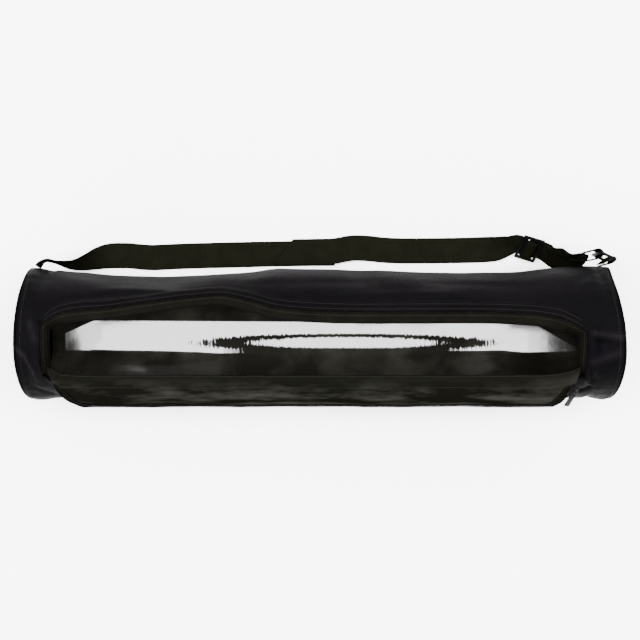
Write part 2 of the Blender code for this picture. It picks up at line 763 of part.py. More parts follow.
def webbing(name, rows, collection, root):
    """A flat band swept through rows of (middle, width direction)."""
    bm = bmesh.new()
    sections = []
    last = len(rows) - 1
    for i, (middle, wide) in enumerate(rows):
        forward = (rows[min(i + 1, last)][0] - rows[max(i - 1, 0)][0]).normalized()
        side = (wide - forward * wide.dot(forward)).normalized()
        up = forward.cross(side)
        across, through = side * STRAP_WIDTH / 2, up * STRAP_THICKNESS / 2
        corners = (middle - across - through, middle + across - through,
                   middle + across + through, middle - across + through)
        sections.append([bm.verts.new(corner) for corner in corners])
    for a, b in zip(sections, sections[1:]):
        for j in range(4):
            k = (j + 1) % 4
            bm.faces.new((a[j], a[k], b[k], b[j]))
    bm.faces.new(sections[0][::-1])
    bm.faces.new(sections[-1])
    return mesh_object(name, bm, ("black_webbing", BLACK_WEBBING), collection, root)


def make_strap(strands, collection, root):
    fold = folded_rows()
    left = smooth_rows([seam_row()] + [strap_place(row) for row in STRAP_LEFT] + fold[:1], STRAP_STEPS)
    entry = weave_rows(strands)
    right = smooth_rows([fold[-1]] + [strap_place(row) for row in STRAP_RIGHT] + entry[:1], STRAP_STEPS)
    rows = left + fold[1:] + right[1:] + entry[1:] + loop_rows(strands)
    return webbing("strap", rows, collection, root)


def rounded_frame(name, outer, holes, thickness, finish, collection, root):
    """A flat plate with rounded corners and rectangular holes, in its own XY plane."""
    curve = bpy.data.curves.new(name, "CURVE")
    curve.dimensions = "2D"
    curve.fill_mode = "BOTH"
    curve.extrude = thickness / 2
    for centre, size, corner in [((0, 0), outer, 0.003)] + [(c, s, 0.0008) for c, s in holes]:
        spline = curve.splines.new("POLY")
        points = []
        for sx, sy, start in ((1, 1, 0), (-1, 1, 90), (-1, -1, 180), (1, -1, 270)):
            for turn in (0, 30, 60, 90):
                angle = math.radians(start + turn)
                x = centre[0] + sx * (size[0] / 2 - corner) + corner * math.cos(angle)
                y = centre[1] + sy * (size[1] / 2 - corner) + corner * math.sin(angle)
                points.append((x, y, 0, 1))
        spline.points.add(len(points) - 1)
        for slot, point in zip(spline.points, points):
            slot.co = point
        spline.use_cyclic_u = True
    obj = bpy.data.objects.new(name, curve)
    curve.materials.append(material(*finish))
    obj.parent = root
    collection.objects.link(obj)
    return obj


def make_adjuster(strands, collection, root):
    """The slide: two slots beside a middle bar, square to the strap."""
    middle, forward, wide, up = strands.at(0.0)
    opening = (ADJUSTER_LENGTH - 3 * ADJUSTER_BAR) / 2
    hole = (opening, STRAP_WIDTH + 2 * SLOT_CLEARANCE)
    centre = (ADJUSTER_BAR + opening) / 2
    holes = [((-centre, 0), hole), ((centre, 0), hole)]
    obj = rounded_frame("strap_adjuster", (ADJUSTER_LENGTH, strands.plate), holes, ADJUSTER_THICKNESS,
                        ("black_plastic", BLACK_PLASTIC), collection, root)
    obj.matrix_local = frame_matrix(middle + up * adjuster_levels()["plate"], forward, up)
    return obj


def ring_bars(strands):
    """The ring's bar, drawn up to the end of the strap's loop, and its bar in the tab."""
    yaw = math.radians(RING_YAW)
    forward = strands.at(strands.end)[1]
    near = strands.bar + forward * (LOOP_RADIUS - STRAP_THICKNESS / 2 - GAP - RING_BAR / 2)
    return near, near + Vector((math.cos(yaw), math.sin(yaw), 0)) * RING_SPAN


def make_ring(strands, collection, root):
    """A rectangle of round plastic bar, standing upright."""
    near, far = ring_bars(strands)
    half = Vector((0, 0, STRAP_WIDTH / 2 + SLOT_CLEARANCE + RING_BAR / 2))
    over = (far - near).normalized() * RING_BAR * 0.6
    points = [near - half + over, near - half * 0.93, near + half * 0.93, near + half + over,
              far + half - over, far + half * 0.93, far - half * 0.93, far - half - over]
    return tube("strap_ring", points, RING_BAR / 2, ("black_plastic", BLACK_PLASTIC), collection, root,
                cyclic=True)


def make_ring_tab(strands, collection, root):
    """Webbing from the right end seam round the ring's outer bar and back."""
    _, bar = ring_bars(strands)
    x = TUBE_END - STRAP_THICKNESS * 2
    seam = Vector((x, skin(x, 90.0).y, bar.z))
    forward = (bar - seam).normalized()
    side = Vector((-forward.y, forward.x, 0))
    seam.y += abs(side.y) * (LAYER + STRAP_THICKNESS) / 2 + 2 * GAP
    radius = RING_BAR / 2 + GAP + STRAP_THICKNESS / 2
    wide = Vector((0, 0, -1))
    rows = [(seam + side * LAYER / 2, wide), (bar - forward * radius + side * radius * 0.95, wide)]
    for i in range(9):
        turn = math.pi * i / 8
        rows.append((bar + (side * math.cos(turn) + forward * math.sin(turn)) * radius, wide))
    rows += [(bar - forward * radius - side * radius * 0.95, wide), (seam - side * LAYER / 2, wide)]
    return webbing("ring_tab", rows, collection, root)


def bounds(objects):
    """Lowest and highest corners of the finished pieces."""
    graph = bpy.context.evaluated_depsgraph_get()
    corners = []
    for obj in objects:
        done = obj.evaluated_get(graph)
        mesh = done.to_mesh()
        corners += [done.matrix_world @ vert.co for vert in mesh.vertices]
        done.to_mesh_clear()
    low = Vector([min(corner[i] for corner in corners) for i in range(3)])
    high = Vector([max(corner[i] for corner in corners) for i in range(3)])
    return low, high


def main():
    clear_scene()
    collection = bpy.data.collections.new("yoga_mat_bag")
    bpy.context.scene.collection.children.link(collection)
    root = bpy.data.objects.new("bag_origin", None)
    collection.objects.link(root)
    make_body(collection, root)
    for side in (-1, 1):
        make_end_panel(side, collection, root)
        make_piping(side, collection, root)
    make_body_zip(collection, root)
    flap = Flap()
    make_flap(flap, collection, root)
    slider_height = make_flap_zip(flap, collection, root)
    make_slider(flap, slider_height, collection, root)
    strands = Strands()
    make_strap(strands, collection, root)
    make_adjuster(strands, collection, root)
    make_ring(strands, collection, root)
    make_ring_tab(strands, collection, root)
    bpy.context.view_layer.update()
    low, high = bounds([obj for obj in collection.objects if obj.type in ("MESH", "CURVE")])
    root.location = (-(low.x + high.x) / 2, -(low.y + high.y) / 2, -low.z)


main()
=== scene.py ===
"""Looks of the zip-up mat bag: creased nylon shell with a coated inside, zip, webbing strap and fittings.

Metres, in the row frame. The shapes are worked out round the bag's own axis and then moved to its place.
Angles round the bag's section run from straight up towards the back.
"""
import bisect
import math

import bmesh
import bpy
import numpy as np
from mathutils import Matrix, Vector, noise


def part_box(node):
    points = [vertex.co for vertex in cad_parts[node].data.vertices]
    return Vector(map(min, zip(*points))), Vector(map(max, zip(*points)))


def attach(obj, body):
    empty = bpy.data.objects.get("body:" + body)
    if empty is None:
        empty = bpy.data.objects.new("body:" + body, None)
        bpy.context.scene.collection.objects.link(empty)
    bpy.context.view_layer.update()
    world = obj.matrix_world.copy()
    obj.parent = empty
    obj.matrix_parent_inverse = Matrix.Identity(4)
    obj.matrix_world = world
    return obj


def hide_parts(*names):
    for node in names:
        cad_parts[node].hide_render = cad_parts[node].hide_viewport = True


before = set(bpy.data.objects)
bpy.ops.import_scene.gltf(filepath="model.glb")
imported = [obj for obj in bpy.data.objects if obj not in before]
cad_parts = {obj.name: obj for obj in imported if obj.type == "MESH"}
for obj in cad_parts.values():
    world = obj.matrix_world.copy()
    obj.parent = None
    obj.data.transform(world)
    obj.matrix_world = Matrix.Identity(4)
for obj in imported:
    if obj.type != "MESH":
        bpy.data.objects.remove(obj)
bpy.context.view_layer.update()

# Bag
BAG_LENGTH = 0.680
BAG_RADIUS = 0.077
FLOOR_SAG = 0.004
CLOTH = 0.0015
GAP = 0.0003
PIPING_RADIUS = 0.0016
END_PANEL_DIP = 0.005
END_PANEL_CLEARANCE = 0.0007
LEAN_REACH = 0.080
LEAN_FULL = 0.006

# Opening, as distances in from the ends and angles round the section
OPENING_FROM_LEFT = 0.030
OPENING_FROM_RIGHT = 0.044

# Flap
FLAP_LENGTH = 0.103
FLAP_SIDE_CLEARANCE = 0.003
FLAP_DRIFT = 0.004
FLAP_TAPER = 0.023
HINGE_GAP = 0.0009

# Zip
TAPE_WIDTH = 0.012
TAPE_THICKNESS = 0.0010
COIL_RADIUS = 0.0012
SLIDER_LENGTH = 0.014
SLIDER_WIDTH = 0.009
SLIDER_HEIGHT = 0.004
SLIDER_PLACE = 0.36
PULL_LENGTH = 0.026
PULL_WIDTH = 0.006
PULL_THICKNESS = 0.0016

# Strap and its fittings
STRAP_WIDTH = 0.032
STRAP_THICKNESS = 0.0018
STRAP_LIFT = 0.0003
EDGE_LIFT = 1.30
SEAM_HEIGHT = 0.95
FOLD_LEFT = -0.13
FOLD_RIGHT = 0.05
FOLD_OUT = 0.66
FOLD_DRIFT = 0.03
ADJUSTER_ALONG = 0.762
ADJUSTER_OUT = 0.86
ADJUSTER_LENGTH = 0.026
ADJUSTER_BAR = 0.0033
ADJUSTER_SIDE_BAR = 0.0035
ADJUSTER_THICKNESS = 0.0024
ADJUSTER_ROLL = 54.0
ADJUSTER_YAW = -17.0
ADJUSTER_REACH = 0.72
WEAVE_RUN_IN = 0.0010
SLOT_CLEARANCE = 0.0015
RING_BAR = 0.0036
RING_SPAN = 0.0165
RING_ALONG = 0.961
RING_OUT = 0.50
RING_YAW = -26.0
LOOP_RADIUS = 0.0055

HALF = BAG_LENGTH / 2
AXIS_HEIGHT = BAG_RADIUS - FLOOR_SAG
TUBE_END = HALF - 2 * PIPING_RADIUS - GAP
OPENING_LEFT = -HALF + OPENING_FROM_LEFT
OPENING_RIGHT = HALF - OPENING_FROM_RIGHT
LAYER = STRAP_THICKNESS + GAP * 1.5


def table(columns, *rows):
    """Rows of numbers by the names of their columns."""
    return [dict(zip(columns.split(), row)) for row in rows]


# along: share of the half length. hem and hinge: angles of the opening's two long edges. back: how far the
# back is pulled in, as a share of the radius.
EDGES = table(
    "along hem hinge back",
    (-1.00, 6.0, -36.0, 0.00),
    (-0.91, 7.0, -38.0, 0.03),
    (-0.875, 14.0, -45.0, 0.05),
    (-0.82, 19.0, -47.0, 0.07),
    (-0.70, 22.0, -47.5, 0.12),
    (-0.55, 28.5, -47.5, 0.14),
    (-0.45, 33.0, -47.5, 0.12),
    (-0.34, 36.0, -47.5, 0.09),
    (-0.24, 30.5, -47.5, 0.07),
    (-0.14, 22.5, -47.5, 0.02),
    (0.00, 19.2, -47.5, 0.035),
    (0.26, 18.2, -47.5, 0.052),
    (0.50, 18.5, -47.5, 0.078),
    (0.68, 17.0, -47.0, 0.060),
    (0.78, 13.0, -46.0, 0.010),
    (0.835, 7.0, -43.0, -0.010),
    (0.871, 2.0, -38.0, -0.020),
    (0.94, 1.0, -36.0, -0.028),
    (1.00, 0.0, -36.0, -0.010),
)

# Creases and dents pressed into the skin: where they lie, how deep (share of the radius), how far they
# reach along (share of the half length) and round (degrees).
CREASES = table(
    "along angle depth reach spread",
    (-0.945, 10.0, 0.045, 0.016, 16.0),
    (-0.965, -38.0, 0.035, 0.020, 26.0),
    (0.925, -8.0, 0.050, 0.022, 18.0),
    (0.905, -52.0, 0.040, 0.018, 14.0),
    (0.955, 62.0, 0.030, 0.020, 20.0),
    (-0.930, 75.0, 0.035, 0.020, 22.0),
    (-0.520, 62.0, 0.030, 0.120, 20.0),
    (0.430, 58.0, 0.025, 0.100, 18.0),
    (0.120, 70.0, 0.018, 0.050, 16.0),
    (-0.960, -96.0, -0.030, 0.035, 34.0),
    (0.975, -96.0, -0.022, 0.022, 34.0),
    (0.922, -94.0, 0.040, 0.012, 30.0),
)

# How far each end's rim stands out past its plain place, round the section (metres).
END_LEANS = table(
    "angle left right",
    (-180.0, 0.0000, 0.0000),
    (-90.0, 0.0004, 0.0004),
    (-32.0, 0.0015, 0.0020),
    (5.0, 0.0000, -0.0010),
    (28.0, -0.0012, -0.0040),
    (52.0, -0.0020, -0.0060),
    (85.0, -0.0006, -0.0012),
    (120.0, 0.0000, 0.0000),
    (180.0, 0.0000, 0.0000),
)

# The flap's run over the front, from the hinge down: angle past the hinge and height off the skin (share of
# the radius).
FLAP_RUN = table(
    "turn off",
    (0.0, 0.000),
    (5.0, 0.016),
    (9.5, 0.038),
    (11.0, 0.072),
    (8.0, 0.110),
    (1.0, 0.130),
    (-9.0, 0.122),
    (-20.0, 0.102),
    (-32.0, 0.090),
    (-44.0, 0.108),
    (-53.0, 0.158),
    (-60.0, 0.212),
    (-67.0, 0.290),
    (-74.0, 0.390),
)

# The strap's run from the left seam to the fold, and from the fold to the adjuster. along: share of the
# half length. out: strap widths behind the bag. up: share of the seam's height. roll: degrees from flat.
STRAP_LEFT = table(
    "along out up roll",
    (-0.974, 0.150, 0.99, 90.0),
    (-0.957, 0.245, 0.95, 90.0),
    (-0.930, 0.250, 0.84, 90.0),
    (-0.900, 0.250, 0.62, 84.0),
    (-0.855, 0.310, 0.35, 62.0),
    (-0.805, 0.480, 0.16, 34.0),
    (-0.765, 0.565, 0.06, 16.0),
    (-0.710, 0.580, 0.00, 3.0),
    (-0.620, 0.510, 0.00, 0.0),
    (-0.510, 0.560, 0.00, 0.0),
    (-0.300, 0.620, 0.00, 0.0),
)
STRAP_RIGHT = table(
    "along out up roll",
    (0.130, 0.880, 0.055, 0.0),
    (0.180, 0.860, 0.030, 0.0),
    (0.240, 0.800, 0.000, 0.0),
    (0.320, 0.770, 0.000, 0.0),
    (0.450, 0.780, 0.000, 0.0),
    (0.560, 0.800, 0.000, 2.0),
    (0.620, 0.820, 0.070, 14.0),
    (0.655, 0.860, 0.150, 32.0),
)
# From the adjuster to the ring, the middle between the strap's two strands.
STRAP_TO_RING = table(
    "along out up roll",
    (0.830, 0.500, 0.28, 64.0),
    (0.858, 0.330, 0.52, 63.0),
    (0.888, 0.310, 0.84, 68.0),
    (0.922, 0.390, 1.00, 90.0),
)


def tangents(keys, values):
    """Slopes for a smooth curve through values, level at each peak and where a flat stretch starts."""
    slopes = []
    last = len(keys) - 1
    for i in range(len(keys)):
        before, after = max(i - 1, 0), min(i + 1, last)
        turns = (values[i] - values[before]) * (values[after] - values[i]) <= 0
        level = turns and 0 < i < last
        slopes.append(0.0 if level else (values[after] - values[before]) / (keys[after] - keys[before]))
    return slopes


def smooth_step(t, span, start, end, start_slope, end_slope):
    """A smooth curve from start to end, at the share t of its span."""
    first = start * ((1 + 2 * t) * (1 - t) ** 2) + start_slope * (span * t * (1 - t) ** 2)
    return first + (end * (t * t * (3 - 2 * t)) + end_slope * (span * t * t * (t - 1)))


TABLES = {}


def value_at(table, key, column, at):
    """One column of a table, read smoothly between its rows."""
    known = TABLES.get((id(table), column))
    if known is None:
        keys = [row[key] for row in table]
        values = [row[column] for row in table]
        known = TABLES[id(table), column] = (table, keys, values, tangents(keys, values))
    _, keys, values, slopes = known
    at = min(max(at, keys[0]), keys[-1])
    i = min(bisect.bisect_right(keys, at), len(keys) - 1) - 1
    span = keys[i + 1] - keys[i]
    return smooth_step((at - keys[i]) / span, span, values[i], values[i + 1], slopes[i], slopes[i + 1])


def hem_angle(x):
    return value_at(EDGES, "along", "hem", x / HALF)


def hinge_angle(x):
    return value_at(EDGES, "along", "hinge", x / HALF)


def lean(x, angle):
    """How far a leaning end shifts the skin along the bag: fully at its rim, not at all past its reach."""
    near = (abs(x) - HALF + LEAN_REACH) / (LEAN_REACH - LEAN_FULL)
    near = min(max(near, 0.0), 1.0)
    side = "right" if x > 0 else "left"
    out = value_at(END_LEANS, "angle", side, (angle + 180) % 360 - 180)
    return math.copysign(1, x) * out * near * near


def radius_at(x, angle):
    """The skin's radius, with the back's dent and the creases."""
    along = x / HALF
    back = max(0.0, math.sin(math.radians(angle))) ** 2
    shrink = value_at(EDGES, "along", "back", along) * back
    for crease in CREASES:
        off = (angle - crease["angle"] + 180) % 360 - 180
        near = (along - crease["along"]) / crease["reach"]
        shrink += crease["depth"] * math.exp(-near * near - (off / crease["spread"]) ** 2)
    return BAG_RADIUS * (1 - shrink)


def skin(x, angle, outward=0.0):
    """A point of the bag's outer face, or off it by outward. The round is flat where it meets the floor."""
    radius = radius_at(x, angle) + outward
    turn = math.radians(angle)
    height = max(AXIS_HEIGHT + radius * math.cos(turn), -outward)
    return Vector((x + lean(x, angle), radius * math.sin(turn), height))


def spread(start, end, count):
    """Evenly spaced values from start to end."""
    return [start + (end - start) * i / count for i in range(count + 1)]


def run_lengths(points):
    """How far along a line each of its points lies."""
    lengths = [0.0]
    for a, b in zip(points, points[1:]):
        lengths.append(lengths[-1] + (b - a).length)
    return lengths


def offset_chain(chain, distance):
    """A flat chain of (along, round) places moved sideways by a distance, mitred at its corners."""
    moved = []
    for i, here in enumerate(chain):
        before = chain[max(i - 1, 0)]
        after = chain[min(i + 1, len(chain) - 1)]
        first = (here - before).normalized() if i else (after - here).normalized()
        second = (after - here).normalized() if i < len(chain) - 1 else first
        normals = [Vector((-run.y, run.x)) for run in (first, second)]
        middle = (normals[0] + normals[1]).normalized()
        moved.append(here + middle * distance / max(middle.dot(normals[0]), 0.5))
    return moved


def arc_place(x, angle):
    return Vector((x, BAG_RADIUS * math.radians(angle)))


def flap_run(x):
    """The flap's run at one place along the bag, as (length from the hinge, angle, height off the skin)."""
    hinge = hinge_angle(x) + math.degrees(HINGE_GAP / BAG_RADIUS)
    run = []
    length = 0.0
    steps = 8 * (len(FLAP_RUN) - 1)
    numbered = [dict(row, step=i) for i, row in enumerate(FLAP_RUN)]
    last = None
    for at in spread(0, len(FLAP_RUN) - 1, steps):
        angle = hinge + value_at(numbered, "step", "turn", at)
        off = BAG_RADIUS * value_at(numbered, "step", "off", at) - CLOTH / 2
        point = skin(x, angle, off)
        length += (point - last).length if last else 0.0
        run.append(dict(length=length, angle=angle, off=off))
        last = point
    return run


def flap_stations():
    left = OPENING_LEFT + FLAP_SIDE_CLEARANCE
    right = OPENING_RIGHT - FLAP_SIDE_CLEARANCE
    return left, right


class Flap:
    """The flap's face by share across and share down, narrowing and drifting sideways to its free edge."""

    def __init__(self):
        self.left, self.right = flap_stations()
        self.runs = {}

    def run(self, x):
        key = round(x, 5)
        if key not in self.runs:
            self.runs[key] = flap_run(x)
        return self.runs[key]

    def point(self, across, down):
        x = self.left + (self.right - self.left) * across
        run = self.run(x)
        length = down * FLAP_LENGTH
        angle = value_at(run, "length", "angle", length)
        off = value_at(run, "length", "off", length)
        place = skin(x, angle, off)
        far = min(max(down, 0.0), 1.0)
        place.x += (FLAP_TAPER * (1 - 2 * across) + FLAP_DRIFT * far) * far
        return place

    def normal(self, across, down):
        """Straight out of the face that shows from above."""
        small = 0.004
        side = self.point(min(across + small, 1), down) - self.point(max(across - small, 0), down)
        slope = self.point(across, down + small) - self.point(across, max(down - small, 0))
        return side.cross(slope).normalized() * -1

    def lifted(self, across, down, height):
        return self.point(across, down) + self.normal(across, down) * height


def frame_matrix(origin, forward, up):
    """A place whose X runs forward and whose Z is as near up as it can be."""
    forward = forward.normalized()
    side = up.cross(forward).normalized()
    up = forward.cross(side)
    matrix = Matrix((forward, side, up)).transposed().to_4x4()
    matrix.translation = origin
    return matrix


def strap_place(row):
    """A strap row's middle and the direction of its width."""
    rest = STRAP_THICKNESS / 2 + STRAP_LIFT
    seam = SEAM_HEIGHT * AXIS_HEIGHT
    tilt = math.radians(row["roll"])
    height = rest + max(row["up"] * (seam - rest), EDGE_LIFT * math.sin(tilt) * STRAP_WIDTH / 2)
    middle = Vector((row["along"] * HALF, BAG_RADIUS + row["out"] * STRAP_WIDTH, height))
    return middle, Vector((0, math.cos(tilt), math.sin(tilt)))


def seam_row():
    """The strap's sewn end, upright against the back of the bag's left end."""
    x = -TUBE_END + STRAP_THICKNESS
    y = skin(x, 90.0).y + STRAP_THICKNESS / 2 + 2 * GAP
    return Vector((x, y, SEAM_HEIGHT * AXIS_HEIGHT)), Vector((0, 0, 1))


def smooth_rows(rows, steps):
    """More rows on a smooth curve through the given (middle, width direction) rows."""
    numbered = []
    for i, (middle, wide) in enumerate(rows):
        numbered.append(dict(step=i, x=middle.x, y=middle.y, z=middle.z, wx=wide.x, wy=wide.y, wz=wide.z))
    made = []
    for at in spread(0, len(rows) - 1, steps * (len(rows) - 1)):
        x, y, z, wx, wy, wz = (value_at(numbered, "step", c, at) for c in ("x", "y", "z", "wx", "wy", "wz"))
        made.append((Vector((x, y, z)), Vector((wx, wy, wz)).normalized()))
    return made


def turned_back(middle, wide, forward, up, steps=6):
    """Rows round a half turn that starts at middle and ends one layer further up."""
    radius = LAYER / 2
    centre = middle + up * radius
    rows = []
    for i in range(1, steps):
        turn = math.pi * i / steps
        rows.append((centre + forward * radius * math.sin(turn) - up * radius * math.cos(turn), wide))
    return rows


def folded_rows():
    """The strap doubled back on itself twice, one layer on the next, then down to the floor again."""
    up = Vector((0, 0, 1))
    rest = STRAP_THICKNESS / 2 + STRAP_LIFT
    y = BAG_RADIUS + FOLD_OUT * STRAP_WIDTH
    drift = FOLD_DRIFT * STRAP_WIDTH
    left, right = FOLD_LEFT * HALF, FOLD_RIGHT * HALF
    wide = Vector((0, 1, 0))
    rows = []
    corners = [(left, right, 0), (right, left, 1), (left, right, 2)]
    for start, end, level in corners:
        z = rest + level * LAYER
        for share in (0.0, 0.5, 1.0):
            x = start + (end - start) * share
            rows.append((Vector((x, y + drift * (level + share), z)), wide))
        if level < 2:
            forward = Vector((math.copysign(1, end - start), 0, 0))
            rows += turned_back(rows[-1][0], wide, forward, up)
    return rows


class Strands:
    """The line between the strap's two strands from the adjuster to the ring, and its frames."""

    def __init__(self):
        tilt = math.radians(ADJUSTER_ROLL)
        self.plate = STRAP_WIDTH + 2 * (SLOT_CLEARANCE + ADJUSTER_SIDE_BAR)
        low = self.plate / 2 * math.sin(tilt) + ADJUSTER_THICKNESS
        middle = Vector((ADJUSTER_ALONG * HALF, BAG_RADIUS + ADJUSTER_OUT * STRAP_WIDTH, low))
        yaw = math.radians(ADJUSTER_YAW)
        wide = Vector((-math.sin(yaw) * math.cos(tilt), math.cos(yaw) * math.cos(tilt), math.sin(tilt)))
        reach = Vector((math.cos(yaw), math.sin(yaw), 0)) * ADJUSTER_LENGTH * ADJUSTER_REACH
        self.middle = middle
        self.wide = wide
        rows = [(middle + reach * share, wide) for share in (-1.0, -0.9, 0.0, 0.9, 1.0)]
        rows += [strap_place(row) for row in STRAP_TO_RING]
        out = BAG_RADIUS + RING_OUT * STRAP_WIDTH
        self.bar = Vector((RING_ALONG * HALF, out, SEAM_HEIGHT * AXIS_HEIGHT))
        rows.append((self.bar, Vector((0, 0, 1))))
        self.rows = smooth_rows(rows, STRAP_STEPS)
        self.lengths = run_lengths([middle for middle, _ in self.rows])
        self.centre = self.lengths[2 * STRAP_STEPS]
        self.end = self.lengths[-1] - self.centre

    def at(self, distance):
        """Middle, forward, width and up directions at a distance past the adjuster's middle."""
        length = min(max(distance + self.centre, 0.0), self.lengths[-1])
        i = max(n for n in range(len(self.lengths) - 1) if self.lengths[n] <= length)
        share = (length - self.lengths[i]) / (self.lengths[i + 1] - self.lengths[i])
        (a, wide_a), (b, wide_b) = self.rows[i], self.rows[i + 1]
        after = self.rows[min(i + 2, len(self.rows) - 1)][0]
        before = self.rows[max(i - 1, 0)][0]
        forward = ((b - before) * (1 - share) + (after - a) * share).normalized()
        wide = wide_a.lerp(wide_b, share)
        wide = (wide - forward * wide.dot(forward)).normalized()
        return a.lerp(b, share), forward, wide, forward.cross(wide)

    def row(self, distance, height):
        middle, _, wide, up = self.at(distance)
        return middle + up * height, wide


def adjuster_levels():
    """Heights of the strap's layers and the adjuster's plate at its bars, over the strands' middle line."""
    half = STRAP_THICKNESS / 2
    under = -LAYER
    plate_low = under + LAYER + half + GAP + ADJUSTER_THICKNESS / 2
    return dict(
        tail_under=under,
        main_under=0.0,
        plate=plate_low,
        tail_over=plate_low + ADJUSTER_THICKNESS / 2 + GAP + half,
        main_over=plate_low + ADJUSTER_THICKNESS / 2 + 2 * GAP + half + STRAP_THICKNESS,
    )


def weave_rows(strands):
    """The main strand: under the first bar, over the middle bar and the strap's end, under the last."""
    level = adjuster_levels()
    edge = ADJUSTER_LENGTH / 2
    inner = edge - ADJUSTER_BAR - WEAVE_RUN_IN
    bar = ADJUSTER_BAR / 2
    rise = level["main_over"] - level["plate"]
    drop = level["plate"] - level["main_under"]
    reach = inner - bar
    slope = math.asin(rise / math.hypot(reach, drop)) + math.atan2(drop, reach)
    climb = []
    for share in (1.0, 0.5, 0.0):
        turn = slope * share
        climb.append((bar + rise * math.sin(turn), level["plate"] + rise * math.cos(turn)))
    run = [(edge * 1.1, level["main_under"]), (inner, level["main_under"])] + climb
    rows = [strands.row(-edge * 1.40, level["main_under"])]
    rows += [strands.row(-distance, height) for distance, height in run]
    return rows + [strands.row(distance, height) for distance, height in reversed(run)]


def loop_rows(strands):
    """Out to the ring on one side of the middle line, round its bar, and back on the other side."""
    level = adjuster_levels()
    main, end = level["main_under"], level["tail_under"]
    start = ADJUSTER_LENGTH * ADJUSTER_REACH
    out, back = [], []
    for distance in spread(start, strands.end - LOOP_RADIUS * 0.2, 14)[1:]:
        share = (distance - start) / (strands.end - start)
        out.append(strands.row(distance, main + (LOOP_RADIUS - main) * share))
        back.append(strands.row(distance, end + (-LOOP_RADIUS - end) * share))
    middle, forward, wide, up = strands.at(strands.end)
    turn = []
    for angle in spread(0, math.pi, LOOP_STEPS):
        off = up * LOOP_RADIUS * math.cos(angle) + forward * LOOP_RADIUS * math.sin(angle)
        turn.append((middle + off, wide))
    tail = [strands.row(start, end), strands.row(0.0, end)]
    return out + turn + back[::-1] + tail + tail_end(strands)


def tail_end(strands):
    """The strap's end, round the adjuster's middle bar."""
    level = adjuster_levels()
    middle = level["plate"]
    bar = ADJUSTER_BAR / 2
    radius = level["tail_over"] - middle
    under = middle - radius
    rows = [strands.row(-bar, under)]
    for i in range(1, 6):
        turn = math.pi * i / 6
        rows.append(strands.row(-bar - radius * math.sin(turn), middle - radius * math.cos(turn)))
    rows.append(strands.row(-bar, level["tail_over"]))
    rows.append(strands.row(bar, level["tail_over"]))
    return rows


def ring_bars(strands):
    """The ring's bar, drawn up to the end of the strap's loop, and its bar in the tab."""
    yaw = math.radians(RING_YAW)
    forward = strands.at(strands.end)[1]
    near = strands.bar + forward * (LOOP_RADIUS - STRAP_THICKNESS / 2 - GAP - RING_BAR / 2)
    return near, near + Vector((math.cos(yaw), math.sin(yaw), 0)) * RING_SPAN


# Extra rows that only the looks need
STRAP_STEPS = 3
LOOP_STEPS = 8
END_TAPE_LOW = -36.0
HEM_BAND = 0.011
HEM_RISE = 0.0008
TAPE_TURN_LONG = 8.0
TAPE_TURN_END = 58.0
SLOT_PLAY = 0.0006
FOLD_SKEW = 0.75
STITCH_PITCH = 0.0034
STITCH_LENGTH = 0.0025
STITCH_THICKNESS = 0.00026
STITCH_LIFT = 0.0001
# A stitch's rings: place along it and thickness as shares, and height in thicknesses
STITCH_RINGS = ((-0.5, 0.35, -0.6), (-0.25, 1.0, 0.5), (0.25, 1.0, 0.5), (0.5, 0.35, -0.6))
HEM_STITCHES = (0.0032, 0.0092)
END_STITCHES = 0.0042
FLAP_STITCHES = (0.0045, 0.0105)
FOLD_STITCHES = (0.17, 0.30)
COIL_PITCH = 0.00150
COIL_WIRE = 0.00056
COIL_SIDES = 5
COIL_STEPS = 8
RIB_PITCH = 0.00105
RIB_HEIGHT = 0.00010
NYLON_WEAVE = 0.0008
NYLON_SHINE = 0.006
# How many rows and columns the cloth's sheets have, and how far the finer ones beside the hem reach
SHELL_END_ROWS = (14, 20)
SHELL_ROWS = 226
SHELL_COLUMNS = 132
WINDOW_COLUMNS = 26
HEM_COLUMNS = 14
HEM_COLUMNS_REACH = 0.0155
END_ROWS = 26
END_COLUMNS = 160
FLAP_ROWS = 230
FLAP_COLUMNS = 44
TAPE_COLUMNS = 6
# How high the cloth's swells stand, and how far from an end its gathers and their pull reach
SWELL_HEIGHT = 0.0016
FINE_SWELL_HEIGHT = 0.0007
PUCKER_HEIGHT = 0.0012
GATHER_REACH = 0.016
PULL_REACH = 0.012
# Painted sheen along the creases at the ends, as lines seen from above, and how much lighter than the
# cloth's own patches they are
CREASE_SHEEN_LINES = table(
    "x0 y0 x1 y1 width tone",
    (-0.344, -0.010, -0.330, -0.025, 0.0060, 1.0),
    (-0.330, -0.025, -0.321, -0.046, 0.0050, 0.9),
    (-0.322, 0.012, -0.317, -0.006, 0.0090, 0.7),
    (0.304, 0.000, 0.336, -0.004, 0.0080, 0.9),
    (0.304, -0.032, 0.332, -0.022, 0.0090, 0.6),
)
CREASE_SHEEN_SHARE = 2.2
# The wrinkle on the floor lining, and how far the lining's shading lifts towards the ends
LENS_X = 0.033
LENS_Y = -0.0136
LENS_LONG = 0.150
LENS_WIDE = 0.0092
FLOOR_RISE = 0.0085
# Where the lining's gloss ends. Right, left and back: a slanting line over the floor, as its slope and the
# two values between which the gloss fades. Then the same for the left end and for the height.
GLOSS_RIGHT = (1.735, 0.2845, 0.2880)
GLOSS_LEFT = (2.266, 0.3140, 0.3170)
GLOSS_BACK = (0.0063, 0.0125, 0.0137)
GLOSS_FAR_LEFT = (0.3180, 0.3200)
GLOSS_HEIGHT = (0.020, 0.030)
PHOTO_WIDTH = 640
FOCAL_PIXELS = 1006
CAMERA_FORWARD = 0.015
CAMERA_HEIGHT = 1.19
WORLD_LIGHT = 2.6
